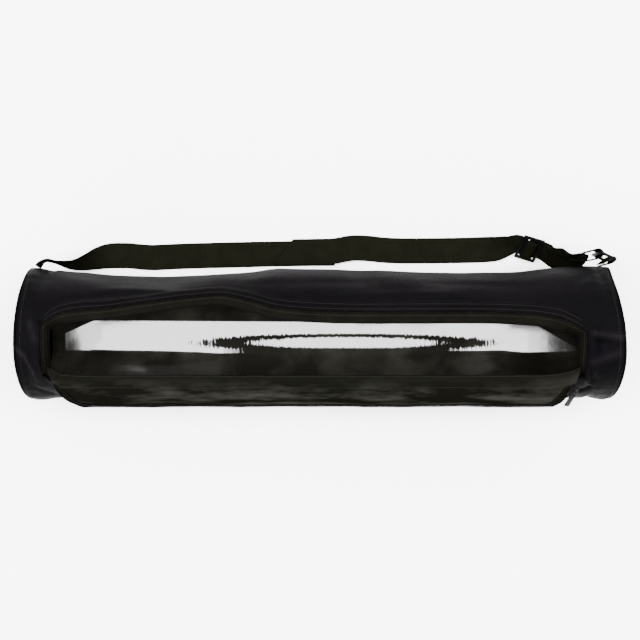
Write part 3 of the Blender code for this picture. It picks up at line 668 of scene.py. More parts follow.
# Lamps: place and target from the bag's middle on the floor, size and power
LAMPS = [
    dict(name="overhead", place=(0, 0.19, 2.3), target=(0, 0.19, 0), size=(4.2, 1.28), power=448),
    dict(name="fill", place=(-1.6, -1.8, 1.6), target=(0, 0, 0), size=(1.2, 1.2), power=70),
    dict(name="rim", place=(1.6, 1.8, 1.4), target=(0, 0, 0), size=(1.0, 1.0), power=60),
]

# Creases in the cloth, as lines on the unrolled skin: along and angle of both ends, how far the line is
# pushed in (metres, negative for a ridge) and its half width.
FINE_CREASES = table(
    "x0 a0 x1 a1 depth width",
    (-0.333, -6.0, -0.318, -16.0, -0.0023, 0.0022),
    (-0.318, -16.0, -0.309, -31.0, -0.0027, 0.0022),
    (-0.315, 14.0, -0.309, 4.0, 0.0038, 0.0022),
    (-0.309, 4.0, -0.298, 14.0, -0.0023, 0.0022),
    (-0.327, 34.0, -0.300, 14.0, 0.0023, 0.0060),
    (-0.310, -33.0, -0.290, -58.0, -0.0034, 0.0024),
    (-0.325, -52.0, -0.305, -66.0, 0.0023, 0.0040),
    (0.300, 2.0, 0.330, -2.0, -0.0027, 0.0026),
    (0.302, -3.0, 0.322, -9.0, 0.0034, 0.0024),
    (0.300, -9.0, 0.318, -22.0, -0.0023, 0.0030),
    (0.299, -24.0, 0.306, -44.0, 0.0027, 0.0024),
    (0.296, -38.0, 0.316, -58.0, -0.0027, 0.0026),
    (0.285, -62.0, 0.312, -54.0, 0.0034, 0.0034),
    (0.262, 20.0, 0.312, 30.0, -0.0014, 0.0060),
    (0.290, 48.0, 0.320, 66.0, 0.0023, 0.0050),
    (-0.290, 30.0, -0.200, 38.0, 0.0015, 0.0050),
    (-0.240, 44.0, -0.150, 40.0, -0.0014, 0.0060),
    (-0.080, 48.0, 0.060, 52.0, 0.0011, 0.0070),
    (0.020, 34.0, 0.150, 38.0, -0.0011, 0.0050),
    (0.120, 52.0, 0.250, 46.0, 0.0014, 0.0070),
)


def bag_origin():
    """Where the bag's axis and middle stand in the row frame, from the lowest corner of the solid shell."""
    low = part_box("body")[0]
    angles = spread(-130, 0, 60)
    least_x = min(skin(-TUBE_END, angle).x for angle in angles)
    least_y = min(skin(x, angle).y for x in spread(-TUBE_END, TUBE_END, 60) for angle in angles)
    return Vector((low.x - least_x, low.y - least_y, 0.0))


ORIGIN = bag_origin()


class Socket:
    """A shader value, so that shader maths reads as plain maths."""

    def __init__(self, net, source):
        self.net = net
        self.source = source

    def maths(self, kind, *others):
        return self.net.node("ShaderNodeMath", dict(operation=kind), self, *others)

    def __add__(self, other):
        return self.maths("ADD", other)

    def __radd__(self, other):
        return self.maths("ADD", other)

    def __sub__(self, other):
        return self.maths("SUBTRACT", other)

    def __rsub__(self, other):
        return (self * -1.0).maths("ADD", other)

    def __mul__(self, other):
        return self.maths("MULTIPLY", other)

    def __rmul__(self, other):
        return self.maths("MULTIPLY", other)

    def __truediv__(self, other):
        return self.maths("DIVIDE", other)


class Net:
    """One material's node tree."""

    def __init__(self, name):
        self.material = bpy.data.materials.new(name)
        self.material.use_nodes = True
        self.tree = self.material.node_tree
        self.shader = self.tree.nodes["Principled BSDF"]

    def put(self, target, value):
        if isinstance(value, Socket):
            self.tree.links.new(value.source, target)
        else:
            target.default_value = value

    def node(self, kind, settings=None, *inputs, out=0, **named):
        made = self.tree.nodes.new(kind)
        for key, value in (settings or {}).items():
            setattr(made, key, value)
        for target, value in zip(made.inputs, inputs):
            self.put(target, value)
        for key, value in named.items():
            self.put(made.inputs[key.replace("_", " ")], value)
        return Socket(self, made.outputs[out])

    def shade(self, **values):
        for key, value in values.items():
            self.put(self.shader.inputs[key.replace("_", " ")], value)
        return self.material

    def mixed(self, share, **values):
        """Another shader over the first, by share."""
        first, mix = self.shader, self.tree.nodes.new("ShaderNodeMixShader")
        self.shader = self.tree.nodes.new("ShaderNodeBsdfPrincipled")
        self.put(mix.inputs[0], share)
        self.tree.links.new(first.outputs[0], mix.inputs[1])
        self.tree.links.new(self.shader.outputs[0], mix.inputs[2])
        self.tree.links.new(mix.outputs[0], self.tree.nodes["Material Output"].inputs["Surface"])
        return self.shade(**values)


def uv_parts(net, layer="UVMap"):
    """The two lengths, in metres, that a piece's own map holds."""
    mapped = net.node("ShaderNodeUVMap", dict(uv_map=layer))
    split = net.node("ShaderNodeSeparateXYZ", None, mapped)
    return split, Socket(net, split.source.node.outputs[1]), mapped


def noise_at(net, vector, scale, detail=3.0, rough=0.5):
    return net.node("ShaderNodeTexNoise", None, Vector=vector, Scale=scale, Detail=detail, Roughness=rough)


def object_place(net):
    return net.node("ShaderNodeTexCoord", None, out=3)


def from_middle(net, place):
    """A place's three parts, with x and y from the bag's middle."""
    x, y, z = [net.node("ShaderNodeSeparateXYZ", None, place, out=i) for i in range(3)]
    return x - ORIGIN.x, y - ORIGIN.y, z


def mix_colour(net, share, low, high):
    made = net.tree.nodes.new("ShaderNodeMix")
    made.clamp_factor = False
    made.data_type = "RGBA"
    net.put(made.inputs[0], share)
    net.put(made.inputs[6], (*low, 1.0))
    net.put(made.inputs[7], (*high, 1.0))
    return Socket(net, made.outputs[2])


def bump(net, height, distance, strength=1.0, after=None):
    named = dict(Strength=strength, Distance=distance, Height=height)
    if after is not None:
        named["Normal"] = after
    return net.node("ShaderNodeBump", None, **named)


def painted_crease_sheen(net, place):
    """Painted sheen: lighter where the cloth is creased at the bag's ends, as lines seen from above, on the
    upper half only.
    """
    x, y, z = from_middle(net, place)
    sheen = None
    for line in CREASE_SHEEN_LINES:
        dx, dy = line["x1"] - line["x0"], line["y1"] - line["y0"]
        u, v = x - line["x0"], y - line["y0"]
        along = ramp(u * dx + v * dy, 0.0, dx * dx + dy * dy)
        u, v = u - along * dx, v - along * dy
        near = 1.0 - ramp((u * u + v * v).maths("SQRT"), 0.0, line["width"])
        near = near * near * line["tone"]
        sheen = near if sheen is None else sheen.maths("MAXIMUM", near)
    return sheen * ramp(z, 0.075, 0.090)


def nylon_material(name, low, high, rough):
    """Woven nylon: crossed threads in relief, soft creases, random patches in the colour, and painted sheen
    along the creases at the ends.
    """
    net = Net(name)
    u, v, _ = uv_parts(net)
    turn = 2 * math.pi / NYLON_WEAVE
    threads = (u * turn).maths("SINE") * (v * turn).maths("SINE")
    place = object_place(net)
    soft = noise_at(net, place, 34.0, 5.0, 0.55)
    patch = noise_at(net, place, 9.0, 2.0)
    folds = bump(net, soft, 0.0016, 0.55)
    normal = bump(net, threads, 0.00012, 0.5, folds)
    # The patches are the cloth's own uneven tone; the crease lines on top add painted sheen.
    share = patch + painted_crease_sheen(net, place) * CREASE_SHEEN_SHARE
    colour = mix_colour(net, share, low, high)
    return net.shade(Base_Color=colour, Roughness=patch * 0.12 + (rough - 0.06), Normal=normal,
                     Specular_IOR_Level=NYLON_SHINE)


def ramp(value, start, end):
    """0 before start and 1 after end, straight between."""
    return ((value - start) / (end - start)).maths("MAXIMUM", 0.0).maths("MINIMUM", 1.0)


def coated_material(name):
    """The nylon's coated side: glossy on the floor, dull along a lens-shaped wrinkle in its middle and
    past its edges, and drawn up towards both ends."""
    net = Net(name)
    place = object_place(net)
    x, y, z = from_middle(net, place)
    ripple = noise_at(net, place, 26.0, 4.0, 0.6)
    patch = ramp(noise_at(net, place, 14.0, 3.0, 0.6), 0.45, 0.70)
    low = 1.0 - ramp(z, *GLOSS_HEIGHT)
    jag = net.node("ShaderNodeVectorMath", dict(operation="MULTIPLY"), place, (420.0, 60.0, 1.0))
    edge = noise_at(net, jag, 1.0, 3.0, 0.7)
    u, v = (x - LENS_X) / LENS_LONG, (y - LENS_Y) / LENS_WIDE
    off = ((u * u + v * v).maths("SQRT") + edge * 0.84 - 1.42).maths("ABSOLUTE")
    wrinkle = 1.0 - ramp(off, 0.21, 0.29)
    beside = ramp(u.maths("ABSOLUTE") + edge * 0.3, 1.02, 1.20)
    dull = wrinkle.maths("MAXIMUM", ramp(v * -1.0 + edge * 0.5, 0.85, 1.0) * (1.0 - beside))
    past_right = ramp(x + y * GLOSS_RIGHT[0], *GLOSS_RIGHT[1:])
    past_left = ramp(y * GLOSS_LEFT[0] - x, *GLOSS_LEFT[1:])
    past_end = ramp(x * -1.0, *GLOSS_FAR_LEFT)
    past_back = ramp(y + x * GLOSS_BACK[0] + edge * 0.0016, *GLOSS_BACK[1:])
    for past in (past_right, past_left, past_end, past_back):
        dull = dull.maths("MAXIMUM", past)
    dull = dull * low
    drawn = ramp(x.maths("ABSOLUTE"), 0.235, 0.330)
    normal = bump(net, ripple, 0.0006, 0.35)
    normal = bump(net, drawn * drawn * low, FLOOR_RISE, 1.0, normal)
    # Painted sheen: the lighter patches in the lining's colour stand in for soft reflections on the
    # coating.
    colour = mix_colour(net, patch, (0.0034, 0.0032, 0.0025), (0.0100, 0.0096, 0.0076))
    net.shade(Base_Color=colour, Roughness=patch * 0.06 + 0.11, Normal=normal, IOR=1.6, Coat_Weight=0.5,
              Coat_Roughness=0.08)
    return net.mixed(dull, Base_Color=colour, Roughness=0.6, Normal=normal, Specular_IOR_Level=0.01)


def flap_lining_material(name):
    """The flap's inside: the same coating made dull, with lighter grey streaky patches painted into the
    colour as reflections; the patches are a little rougher and start a little below the hinge.
    """
    net = Net(name)
    place = object_place(net)
    ripple = noise_at(net, place, 30.0, 4.0, 0.6)
    _, down, _ = uv_parts(net)
    streak = net.node("ShaderNodeVectorMath", dict(operation="MULTIPLY"), place, (14.0, 40.0, 40.0))
    patch = ramp(noise_at(net, streak, 1.0, 4.0, 0.65), 0.44, 0.66) * ramp(down, 0.018, 0.045)
    normal = bump(net, ripple, 0.0012, 0.5)
    # Painted reflection: the grey patches stand in for the glossy coating's reflections of the lamps.
    colour = mix_colour(net, patch, (0.0020, 0.0020, 0.0015), (0.0120, 0.0120, 0.0104))
    rough = patch * 0.12 + 0.48
    return net.shade(Base_Color=colour, Roughness=rough, Normal=normal, Specular_IOR_Level=0.0)


def webbing_material(name, low, high, rough):
    """Ribbed webbing: threads along it, crossed by its ribs."""
    net = Net(name)
    u, v, _ = uv_parts(net)
    along = (u * (2 * math.pi / 0.0021)).maths("SINE")
    across = (v * (2 * math.pi / 0.0013)).maths("SINE")
    threads = along * 0.6 + across * 0.4
    patch = noise_at(net, object_place(net), 60.0, 3.0)
    normal = bump(net, threads, 0.0003, 0.7)
    colour = mix_colour(net, patch, low, high)
    return net.shade(Base_Color=colour, Roughness=rough, Normal=normal, Specular_IOR_Level=0.0)


def plain_material(name, colour, rough, metallic=0.0, grain=0.0, shine=0.2):
    net = Net(name)
    patch = noise_at(net, object_place(net), 220.0, 2.0)
    values = dict(Base_Color=(*colour, 1.0), Metallic=metallic, Roughness=patch * 0.10 + (rough - 0.05),
                  Specular_IOR_Level=shine)
    if grain:
        values["Normal"] = bump(net, patch, grain, 0.5)
    return net.shade(**values)


def materials():
    plastic = (0.0014, 0.0014, 0.0015)
    return dict(
        nylon=nylon_material("nylon outside", (0.0005, 0.0004, 0.0005), (0.0016, 0.0014, 0.0017), 0.44),
        # The end panels and piping take a darker copy of the outside nylon: painted shade, as they stand
        # upright away from the overhead light.
        ends=nylon_material("end nylon", (0.0004, 0.0004, 0.0004), (0.0011, 0.0010, 0.0011), 0.50),
        coated=coated_material("coated nylon"),
        flap_lining=flap_lining_material("flap inside"),
        tape=webbing_material("zip tape", (0.0014, 0.0013, 0.0010), (0.0030, 0.0028, 0.0022), 0.6),
        webbing=webbing_material("strap webbing", (0.0020, 0.0020, 0.0012), (0.0036, 0.0037, 0.0024), 0.65),
        coil=plain_material("zip coil", (0.002, 0.002, 0.002), 0.5, shine=0.0),
        thread=plain_material("sewing thread", (0.010, 0.010, 0.009), 0.7, shine=0.0),
        plastic=plain_material("moulded plastic", plastic, 0.42, grain=0.00004, shine=0.02),
        metal=plain_material("painted metal", (0.003, 0.003, 0.003), 0.42, metallic=0.2, shine=0.02),
    )


def activate(obj):
    bpy.ops.object.select_all(action="DESELECT")
    obj.select_set(True)
    bpy.context.view_layer.objects.active = obj
    return obj


def finished(obj, nodes, mats, smooth=35.0):
    """Puts a piece made round the bag's axis into the row frame, gives it its materials and hides the solid
    parts that it stands for.
    """
    obj.data.transform(Matrix.Translation(ORIGIN))
    for material in mats:
        obj.data.materials.append(material)
    activate(obj)
    bpy.ops.object.shade_smooth_by_angle(angle=math.radians(smooth))
    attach(obj, "root")
    if nodes:
        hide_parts(*nodes)
    return obj


def new_object(name, verts, faces):
    mesh = bpy.data.meshes.new(name)
    mesh.from_pydata(verts, [], faces)
    obj = bpy.data.objects.new(name, mesh)
    bpy.context.scene.collection.objects.link(obj)
    return obj


def edit_mesh(obj, work):
    """Runs work on the object's mesh, and returns the object."""
    bm = bmesh.new()
    bm.from_mesh(obj.data)
    work(bm)
    bm.to_mesh(obj.data)
    bm.free()
    return obj


def open_edges(bm):
    return [e for e in bm.edges if e.is_boundary]


def close_ends(bm):
    """Fills the open ends and turns every face outwards."""
    bmesh.ops.holes_fill(bm, edges=open_edges(bm), sides=0)
    bmesh.ops.recalc_face_normals(bm, faces=bm.faces)


def join_ends(bm):
    """Joins the first and last ring and turns every face outwards."""
    bmesh.ops.remove_doubles(bm, verts=bm.verts, dist=1e-7)
    bmesh.ops.recalc_face_normals(bm, faces=bm.faces)


def clear_loose(bm):
    bmesh.ops.delete(bm, geom=[v for v in bm.verts if not v.link_faces], context="VERTS")


def grid_object(name, points, lengths, closed=False, left_out=None):
    """A sheet through rows of points. lengths holds each point's place on the flat cloth, in metres."""
    rows, columns = len(points), len(points[0])
    verts = [p for row in points for p in row]
    faces = []
    uvs = []
    wide = columns if closed else columns - 1
    for i in range(rows - 1):
        for j in range(wide):
            if left_out and left_out(i, j):
                continue
            k = (j + 1) % columns
            here, below = i * columns, (i + 1) * columns
            faces.append((here + j, here + k, below + k, below + j))
            a, b = lengths[i][j], lengths[i + 1][j]
            c = lengths[i][j + 1] if k else (a[0], 2 * a[1] - lengths[i][j - 1][1])
            d = lengths[i + 1][j + 1] if k else (b[0], 2 * b[1] - lengths[i + 1][j - 1][1])
            uvs += [a, c, d, b]
    obj = new_object(name, verts, faces)
    layer = obj.data.uv_layers.new(name="UVMap")
    layer.data.foreach_set("uv", np.array(uvs, np.float32).ravel())
    return edit_mesh(obj, clear_loose)


def thicken(obj, thickness, offset, inner_material=0):
    wall = obj.modifiers.new("wall", "SOLIDIFY")
    wall.thickness = thickness
    wall.offset = offset
    wall.use_even_offset = True
    wall.material_offset = inner_material
    return obj


def facing(obj, towards):
    """Turns the sheet's faces if most of them point away from a direction given at a point."""
    total = sum(face.normal.dot(towards(face.center)) * face.area for face in obj.data.polygons)
    if total < 0:
        obj.data.flip_normals()
    return obj


def fade(value, start, end):
    """0 at start, 1 at end, smooth between."""
    t = min(max((value - start) / (end - start), 0.0), 1.0)
    return t * t * (3 - 2 * t)


def crease_offset(x, arc):
    """How far the fine creases move the cloth."""
    total = 0.0
    for line in FINE_CREASES:
        ax, ay = line["x0"], BAG_RADIUS * math.radians(line["a0"])
        bx, by = line["x1"], BAG_RADIUS * math.radians(line["a1"])
        dx, dy = bx - ax, by - ay
        size = math.hypot(dx, dy)
        t = ((x - ax) * dx + y_gap(arc, ay) * dy) / (size * size)
        if not -0.3 < t < 1.3:
            continue
        near = min(max(t, 0.0), 1.0)
        gap = math.hypot(x - ax - dx * near, y_gap(arc, ay) - dy * near)
        if gap > 4 * line["width"]:
            continue
        taper = math.sin(math.pi * min(max(0.08 + 0.84 * near, 0.0), 1.0)) ** 0.6
        total -= line["depth"] * taper * math.exp(-(gap / line["width"]) ** 1.5)
    return total


def y_gap(arc, start):
    """From one place round the section to another, the shorter way."""
    turn = 2 * math.pi * BAG_RADIUS
    return (arc - start + turn / 2) % turn - turn / 2


def hem_distance(x, angle):
    """How far into the cloth a place lies from the opening's hem, over the skin."""
    turned = (angle + 180) % 360 - 180
    if OPENING_LEFT <= x <= OPENING_RIGHT:
        return BAG_RADIUS * math.radians(turned - hem_angle(x)) if turned > hem_angle(x) else 1.0
    beside = OPENING_LEFT - x if x < 0 else x - OPENING_RIGHT
    hem = hem_angle(x)
    over = max(turned - hem, END_TAPE_LOW - turned, 0.0)
    return math.hypot(beside, BAG_RADIUS * math.radians(over))


def relief(x, angle):
    """How far the cloth stands off the plain skin: soft swells, creases, and gathers at the end seams."""
    turn = math.radians(angle)
    arc = BAG_RADIUS * turn
    y, z = BAG_RADIUS * math.sin(turn), BAG_RADIUS * math.cos(turn)
    swell = noise.noise(Vector((x * 9, y * 22, z * 22))) * SWELL_HEIGHT
    swell += noise.noise(Vector((x * 26 + 5, y * 48, z * 48))) * FINE_SWELL_HEIGHT
    end = TUBE_END - abs(x)
    gather = math.exp(-end / GATHER_REACH)
    pucker = noise.noise(Vector((x * 12, y * 130, z * 130 + 9))) * PUCKER_HEIGHT * gather
    pull = fade(end, 0.0, PULL_REACH)
    hem = HEM_RISE * (1 - fade(hem_distance(x, angle), HEM_BAND, HEM_BAND + 0.0025))
    creases = crease_offset(x, arc) * pull
    return swell * (0.25 + 0.75 * pull) + pucker * fade(end, 0.0, 0.004) + creases + hem * pull


def cloth_point(x, angle, outward=0.0):
    """A point of the creased cloth, never under the floor."""
    point = skin(x, angle, relief(x, angle) + outward)
    point.z = max(point.z, 0.0)
    return point


def shell_columns(x):
    """Angles round the section, from the hem round the cloth to the hinge and over the opening."""
    hem, hinge = hem_angle(x), hinge_angle(x)
    band = math.degrees(HEM_COLUMNS_REACH / BAG_RADIUS)
    cloth = spread(hem, hem + band, HEM_COLUMNS)[:-1]
    cloth += spread(hem + band, hinge + 360, SHELL_COLUMNS - HEM_COLUMNS)
    return cloth + spread(hinge + 360, hem + 360, WINDOW_COLUMNS)[1:-1]


def make_shell(mats):
    first, last = SHELL_END_ROWS
    stations = spread(-TUBE_END, OPENING_LEFT, first)
    stations += spread(OPENING_LEFT, OPENING_RIGHT, SHELL_ROWS)[1:]
    stations += spread(OPENING_RIGHT, TUBE_END, last)[1:]
    points, lengths = [], []
    for x in stations:
        angles = shell_columns(x)
        points.append([cloth_point(x, a) for a in angles])
        lengths.append([(x, BAG_RADIUS * math.radians(a)) for a in angles])

    def in_window(row, column):
        return column >= SHELL_COLUMNS and first <= row < first + SHELL_ROWS

    obj = grid_object("bag_shell", points, lengths, closed=True, left_out=in_window)
    facing(obj, lambda c: Vector((0, c.y, c.z - AXIS_HEIGHT)))
    thicken(obj, CLOTH, -1, 1)
    return finished(obj, ["body"], [mats["nylon"], mats["coated"]])


def hand(side):
    return "right" if side > 0 else "left"


def end_ring(x, inset, count=END_COLUMNS):
    return [skin(x, a, -inset) for a in spread(0, 360, count)[:-1]]


def make_end(side, mats):
    x = side * TUBE_END
    rim = end_ring(x, CLOTH + END_PANEL_CLEARANCE)
    centre = Vector((x, 0, AXIS_HEIGHT))
    points, lengths = [], []
    for share in spread(1.0, 0.03, END_ROWS):
        row = []
        for n, point in enumerate(rim):
            turn = 2 * math.pi * n / len(rim)
            wave = noise.noise(Vector((math.cos(turn) * 2.2, math.sin(turn) * 2.2, share * 3 + side)))
            tuck = noise.noise(Vector((math.cos(turn) * 9, math.sin(turn) * 9, side * 4.0)))
            dip = END_PANEL_DIP * (1 - share ** 2) + 0.0016 * wave * (1 - share ** 4)
            dip += 0.0006 * tuck * share ** 3 * (1 - share ** 8) * 2
            row.append(centre + (point - centre) * share - Vector((side * dip, 0, 0)))
        points.append(row)
        lengths.append([(p.y, p.z) for p in row])

    def fill_middle(bm):
        inner = [e for e in open_edges(bm) if (e.verts[0].co - centre).length < BAG_RADIUS / 4]
        bmesh.ops.contextual_create(bm, geom=inner)

    obj = edit_mesh(grid_object("end_cloth_" + hand(side), points, lengths, closed=True), fill_middle)
    facing(obj, lambda c: Vector((side, 0, 0)))
    thicken(obj, CLOTH, -1)
    return finished(obj, ["end_panel_" + hand(side)], [mats["ends"]])


def tube_object(name, line, ups, radius, sides=10, closed=False, wave=None):
    """A round cord along a line of points, with an up direction at each."""
    points, lengths = [], []
    count = len(line)
    run = 0.0
    for i, here in enumerate(line):
        before = line[i - 1] if closed or i else here
        after = line[(i + 1) % count] if closed or i < count - 1 else here
        forward = (after - before).normalized()
        side = forward.cross(ups[i]).normalized()
        up = side.cross(forward)
        size = radius * (1 + (wave(i) if wave else 0.0))
        ring = []
        for n in range(sides):
            turn = 2 * math.pi * n / sides
            ring.append(here + (side * math.cos(turn) + up * math.sin(turn)) * size)
        points.append(ring)
        lengths.append([(run, radius * 2 * math.pi * n / sides) for n in range(sides)])
        run += (after - here).length
    if closed:
        points.append(points[0])
        lengths.append([(run, v) for _, v in lengths[0]])
    obj = grid_object(name, points, lengths, closed=True)
    return edit_mesh(obj, join_ends if closed else close_ends)


def make_piping(side, mats):
    x = side * (HALF - PIPING_RADIUS)
    line = end_ring(x, PIPING_RADIUS, 300)
    centre = Vector((x, 0, AXIS_HEIGHT))
    ups = [(p - centre).normalized() for p in line]

    def wave(i):
        turn = 2 * math.pi * i / len(line)
        return 0.10 * noise.noise(Vector((math.cos(turn) * 40, math.sin(turn) * 40, side)))

    obj = tube_object("piped_seam_" + hand(side), line, ups, PIPING_RADIUS, 10, True, wave)
    return finished(obj, ["piping_" + hand(side)], [mats["ends"]], 60)


def plain_opening_edge():
    back = spread(OPENING_LEFT, OPENING_RIGHT, 26)
    chain = [arc_place(x, hem_angle(x)) for x in back]
    left = [arc_place(OPENING_LEFT, a) for a in spread(END_TAPE_LOW, hem_angle(OPENING_LEFT), 3)]
    right = [arc_place(OPENING_RIGHT, a) for a in spread(hem_angle(OPENING_RIGHT), END_TAPE_LOW, 3)]
    return left + chain[1:-1] + right


def lift(place, outward):
    angle = math.degrees(place.y / BAG_RADIUS)
    return skin(place.x, angle, relief(place.x, angle) + outward)


def radial(point):
    return Vector((0, point.y, point.z - AXIS_HEIGHT)).normalized()


def coil_object(name, line, ups):
    """The zip's coil: a fine wire wound round the tape's edge."""
    lengths = run_lengths(line)
    count = int(lengths[-1] / COIL_PITCH) * COIL_STEPS
    wound, outs = [], []
    i = 0
    for n in range(count + 1):
        at = lengths[-1] * n / count
        while i < len(lengths) - 2 and lengths[i + 1] < at:
            i += 1
        share = (at - lengths[i]) / (lengths[i + 1] - lengths[i])
        here = line[i].lerp(line[i + 1], share)
        up = ups[i].lerp(ups[i + 1], share)
        forward = (line[i + 1] - line[i]).normalized()
        side = forward.cross(up).normalized()
        up = side.cross(forward)
        turn = 2 * math.pi * n / COIL_STEPS
        out = side * math.cos(turn) + up * math.sin(turn) * 0.8
        wound.append(here + out * (COIL_RADIUS - COIL_WIRE))
        outs.append(out.normalized())
    return tube_object(name, wound, outs, COIL_WIRE, COIL_SIDES)


def between(chain, at):
    i = min(int(at), len(chain) - 2)
    return chain[i].lerp(chain[i + 1], at - i)


def tape_turn(x):
    """How far the tape leans into the bag: little along the hem, a lot round the ends."""
    from_end = min(x - OPENING_LEFT, OPENING_RIGHT - x)
    near = 1 - fade(from_end, 0.006, 0.034)
    return math.radians(TAPE_TURN_LONG + (TAPE_TURN_END - TAPE_TURN_LONG) * near)


def zip_lines(distances, depth, count=420):
    """Lines beside the opening's edge, at distances over the tape. Their corners come from a plain chain,
    so that no line turns back on itself."""
    plain = plain_opening_edge()
    moved = offset_chain(plain, -TAPE_WIDTH)
    lines = [[] for _ in distances]
    for at in spread(0, len(plain) - 1, count):
        base = between(plain, at)
        inward = (between(moved, at) - base) / TAPE_WIDTH
        if OPENING_LEFT < base.x < OPENING_RIGHT:
            base = arc_place(base.x, hem_angle(base.x))
        turn = tape_turn(base.x)
        for line, distance in zip(lines, distances):
            line.append(lift(base + inward * distance * math.cos(turn), depth - distance * math.sin(turn)))
    return lines


def make_body_zip(mats):
    depth = -(CLOTH - TAPE_THICKNESS) / 2
    columns = spread(GAP, GAP + TAPE_WIDTH, TAPE_COLUMNS)
    lines = zip_lines(columns, depth)
    points, lengths = [], []
    run = 0.0
    for row in zip(*lines):
        if points:
            run += (row[0] - points[-1][0]).length
        points.append(row)
        lengths.append([(run, c) for c in columns])
    tape = grid_object("zip_tape_body", points, lengths)
    facing(tape, lambda c: Vector((0, c.y, c.z - AXIS_HEIGHT)))
    thicken(tape, TAPE_THICKNESS, -1)
    finished(tape, ["zipper_tape_body"], [mats["tape"]])
    line = zip_lines([TAPE_WIDTH + COIL_RADIUS * 0.5], depth - TAPE_THICKNESS / 2)[0]
    coil = coil_object("zip_coil_body", line, [radial(p) for p in line])
    finished(coil, ["zipper_coil_body"], [mats["coil"]], 60)
    seam = zip_lines([0.0042], depth)[0]
    stitches("tape_stitches", seam, [radial(p) for p in seam], mats)


def stitches(name, line, ups, mats):
    """A row of sewn stitches along a line that lies on the cloth."""
    lengths = run_lengths(line)
    verts, faces = [], []
    i = 0
    for n in range(int(lengths[-1] / STITCH_PITCH)):
        at = (n + 0.5) * STITCH_PITCH
        while i < len(lengths) - 2 and lengths[i + 1] < at:
            i += 1
        forward = (line[i + 1] - line[i]).normalized()
        middle = line[i] + forward * (at - lengths[i])
        up = (ups[i] - forward * ups[i].dot(forward)).normalized()
        side = forward.cross(up)
        start = len(verts)
        for along, size, high in STITCH_RINGS:
            centre = middle + forward * (along * STITCH_LENGTH) + up * (high * STITCH_THICKNESS)
            for over, across in ((1, 0), (0, 1), (-1, 0), (0, -1)):
                verts.append(centre + (up * over + side * across) * (STITCH_THICKNESS * size))
        for k in range(len(STITCH_RINGS) - 1):
            for m in range(4):
                a, b = start + 4 * k + m, start + 4 * k + (m + 1) % 4
                faces.append((a, b, b + 4, a + 4))
        last = len(verts) - 4
        faces.append((start + 3, start + 2, start + 1, start))
        faces.append((last, last + 1, last + 2, last + 3))
    obj = edit_mesh(new_object(name, verts, faces), close_ends)
    return finished(obj, [], [mats["thread"]], 60)


def make_shell_stitches(mats):
    """Two rows along the opening's hem, and one beside each piped seam."""
    for number, distance in enumerate(HEM_STITCHES):
        line = []
        for x in spread(OPENING_LEFT + 0.004, OPENING_RIGHT - 0.004, 300):
            past = math.degrees(distance / BAG_RADIUS)
            line.append(cloth_point(x, hem_angle(x) + past, STITCH_LIFT))
        stitches(f"hem_stitches_{number}", line, [radial(p) for p in line], mats)
    for side in (-1, 1):
        x = side * (TUBE_END - END_STITCHES)
        line = [cloth_point(x, a, STITCH_LIFT) for a in spread(0, 360, 260)]
        stitches("end_stitches_" + hand(side), line, [radial(p) for p in line], mats)


def flap_relief(across, down):
    """The flap's own creases: a fold line along it and soft waves across."""
    x = across * (OPENING_RIGHT - OPENING_LEFT)
    wave = noise.noise(Vector((x * 14, down * 2.6, 3.0))) * 0.0014
    wave += noise.noise(Vector((x * 40, down * 6.0, 7.0))) * 0.0005
    return wave * fade(down, 0.0, 0.2)


def make_flap(flap, mats):
    points, lengths = [], []
    downs = spread(0, 1, FLAP_COLUMNS)
    for a in spread(0, 1, FLAP_ROWS):
        points.append([on_flap(flap, Vector((a, d)), 0.0) for d in downs])
        lengths.append([(a * (flap.right - flap.left), d * FLAP_LENGTH) for d in downs])
    obj = grid_object("front_flap_cloth", points, lengths)
    facing(obj, lambda c: flap.normal(0.5, 0.5))
    thicken(obj, CLOTH, 0, 1)
    return finished(obj, ["front_flap"], [mats["flap_lining"], mats["nylon"]])


def fine_flap_edge(inset, count=200):
    wide = flap_stations()
    a = inset / (wide[1] - wide[0])
    d = inset / FLAP_LENGTH
    down = [Vector((a, share)) for share in spread(SLIDER_PLACE, 1 - d, 24)]
    over = [Vector((share, 1 - d)) for share in spread(a, 1 - a, count)]
    up = [Vector((1 - a, share)) for share in spread(1 - d, SLIDER_PLACE, 24)]
    return down + over[1:-1] + up


def on_flap(flap, place, height):
    return flap.lifted(place.x, place.y, height + flap_relief(place.x, place.y))


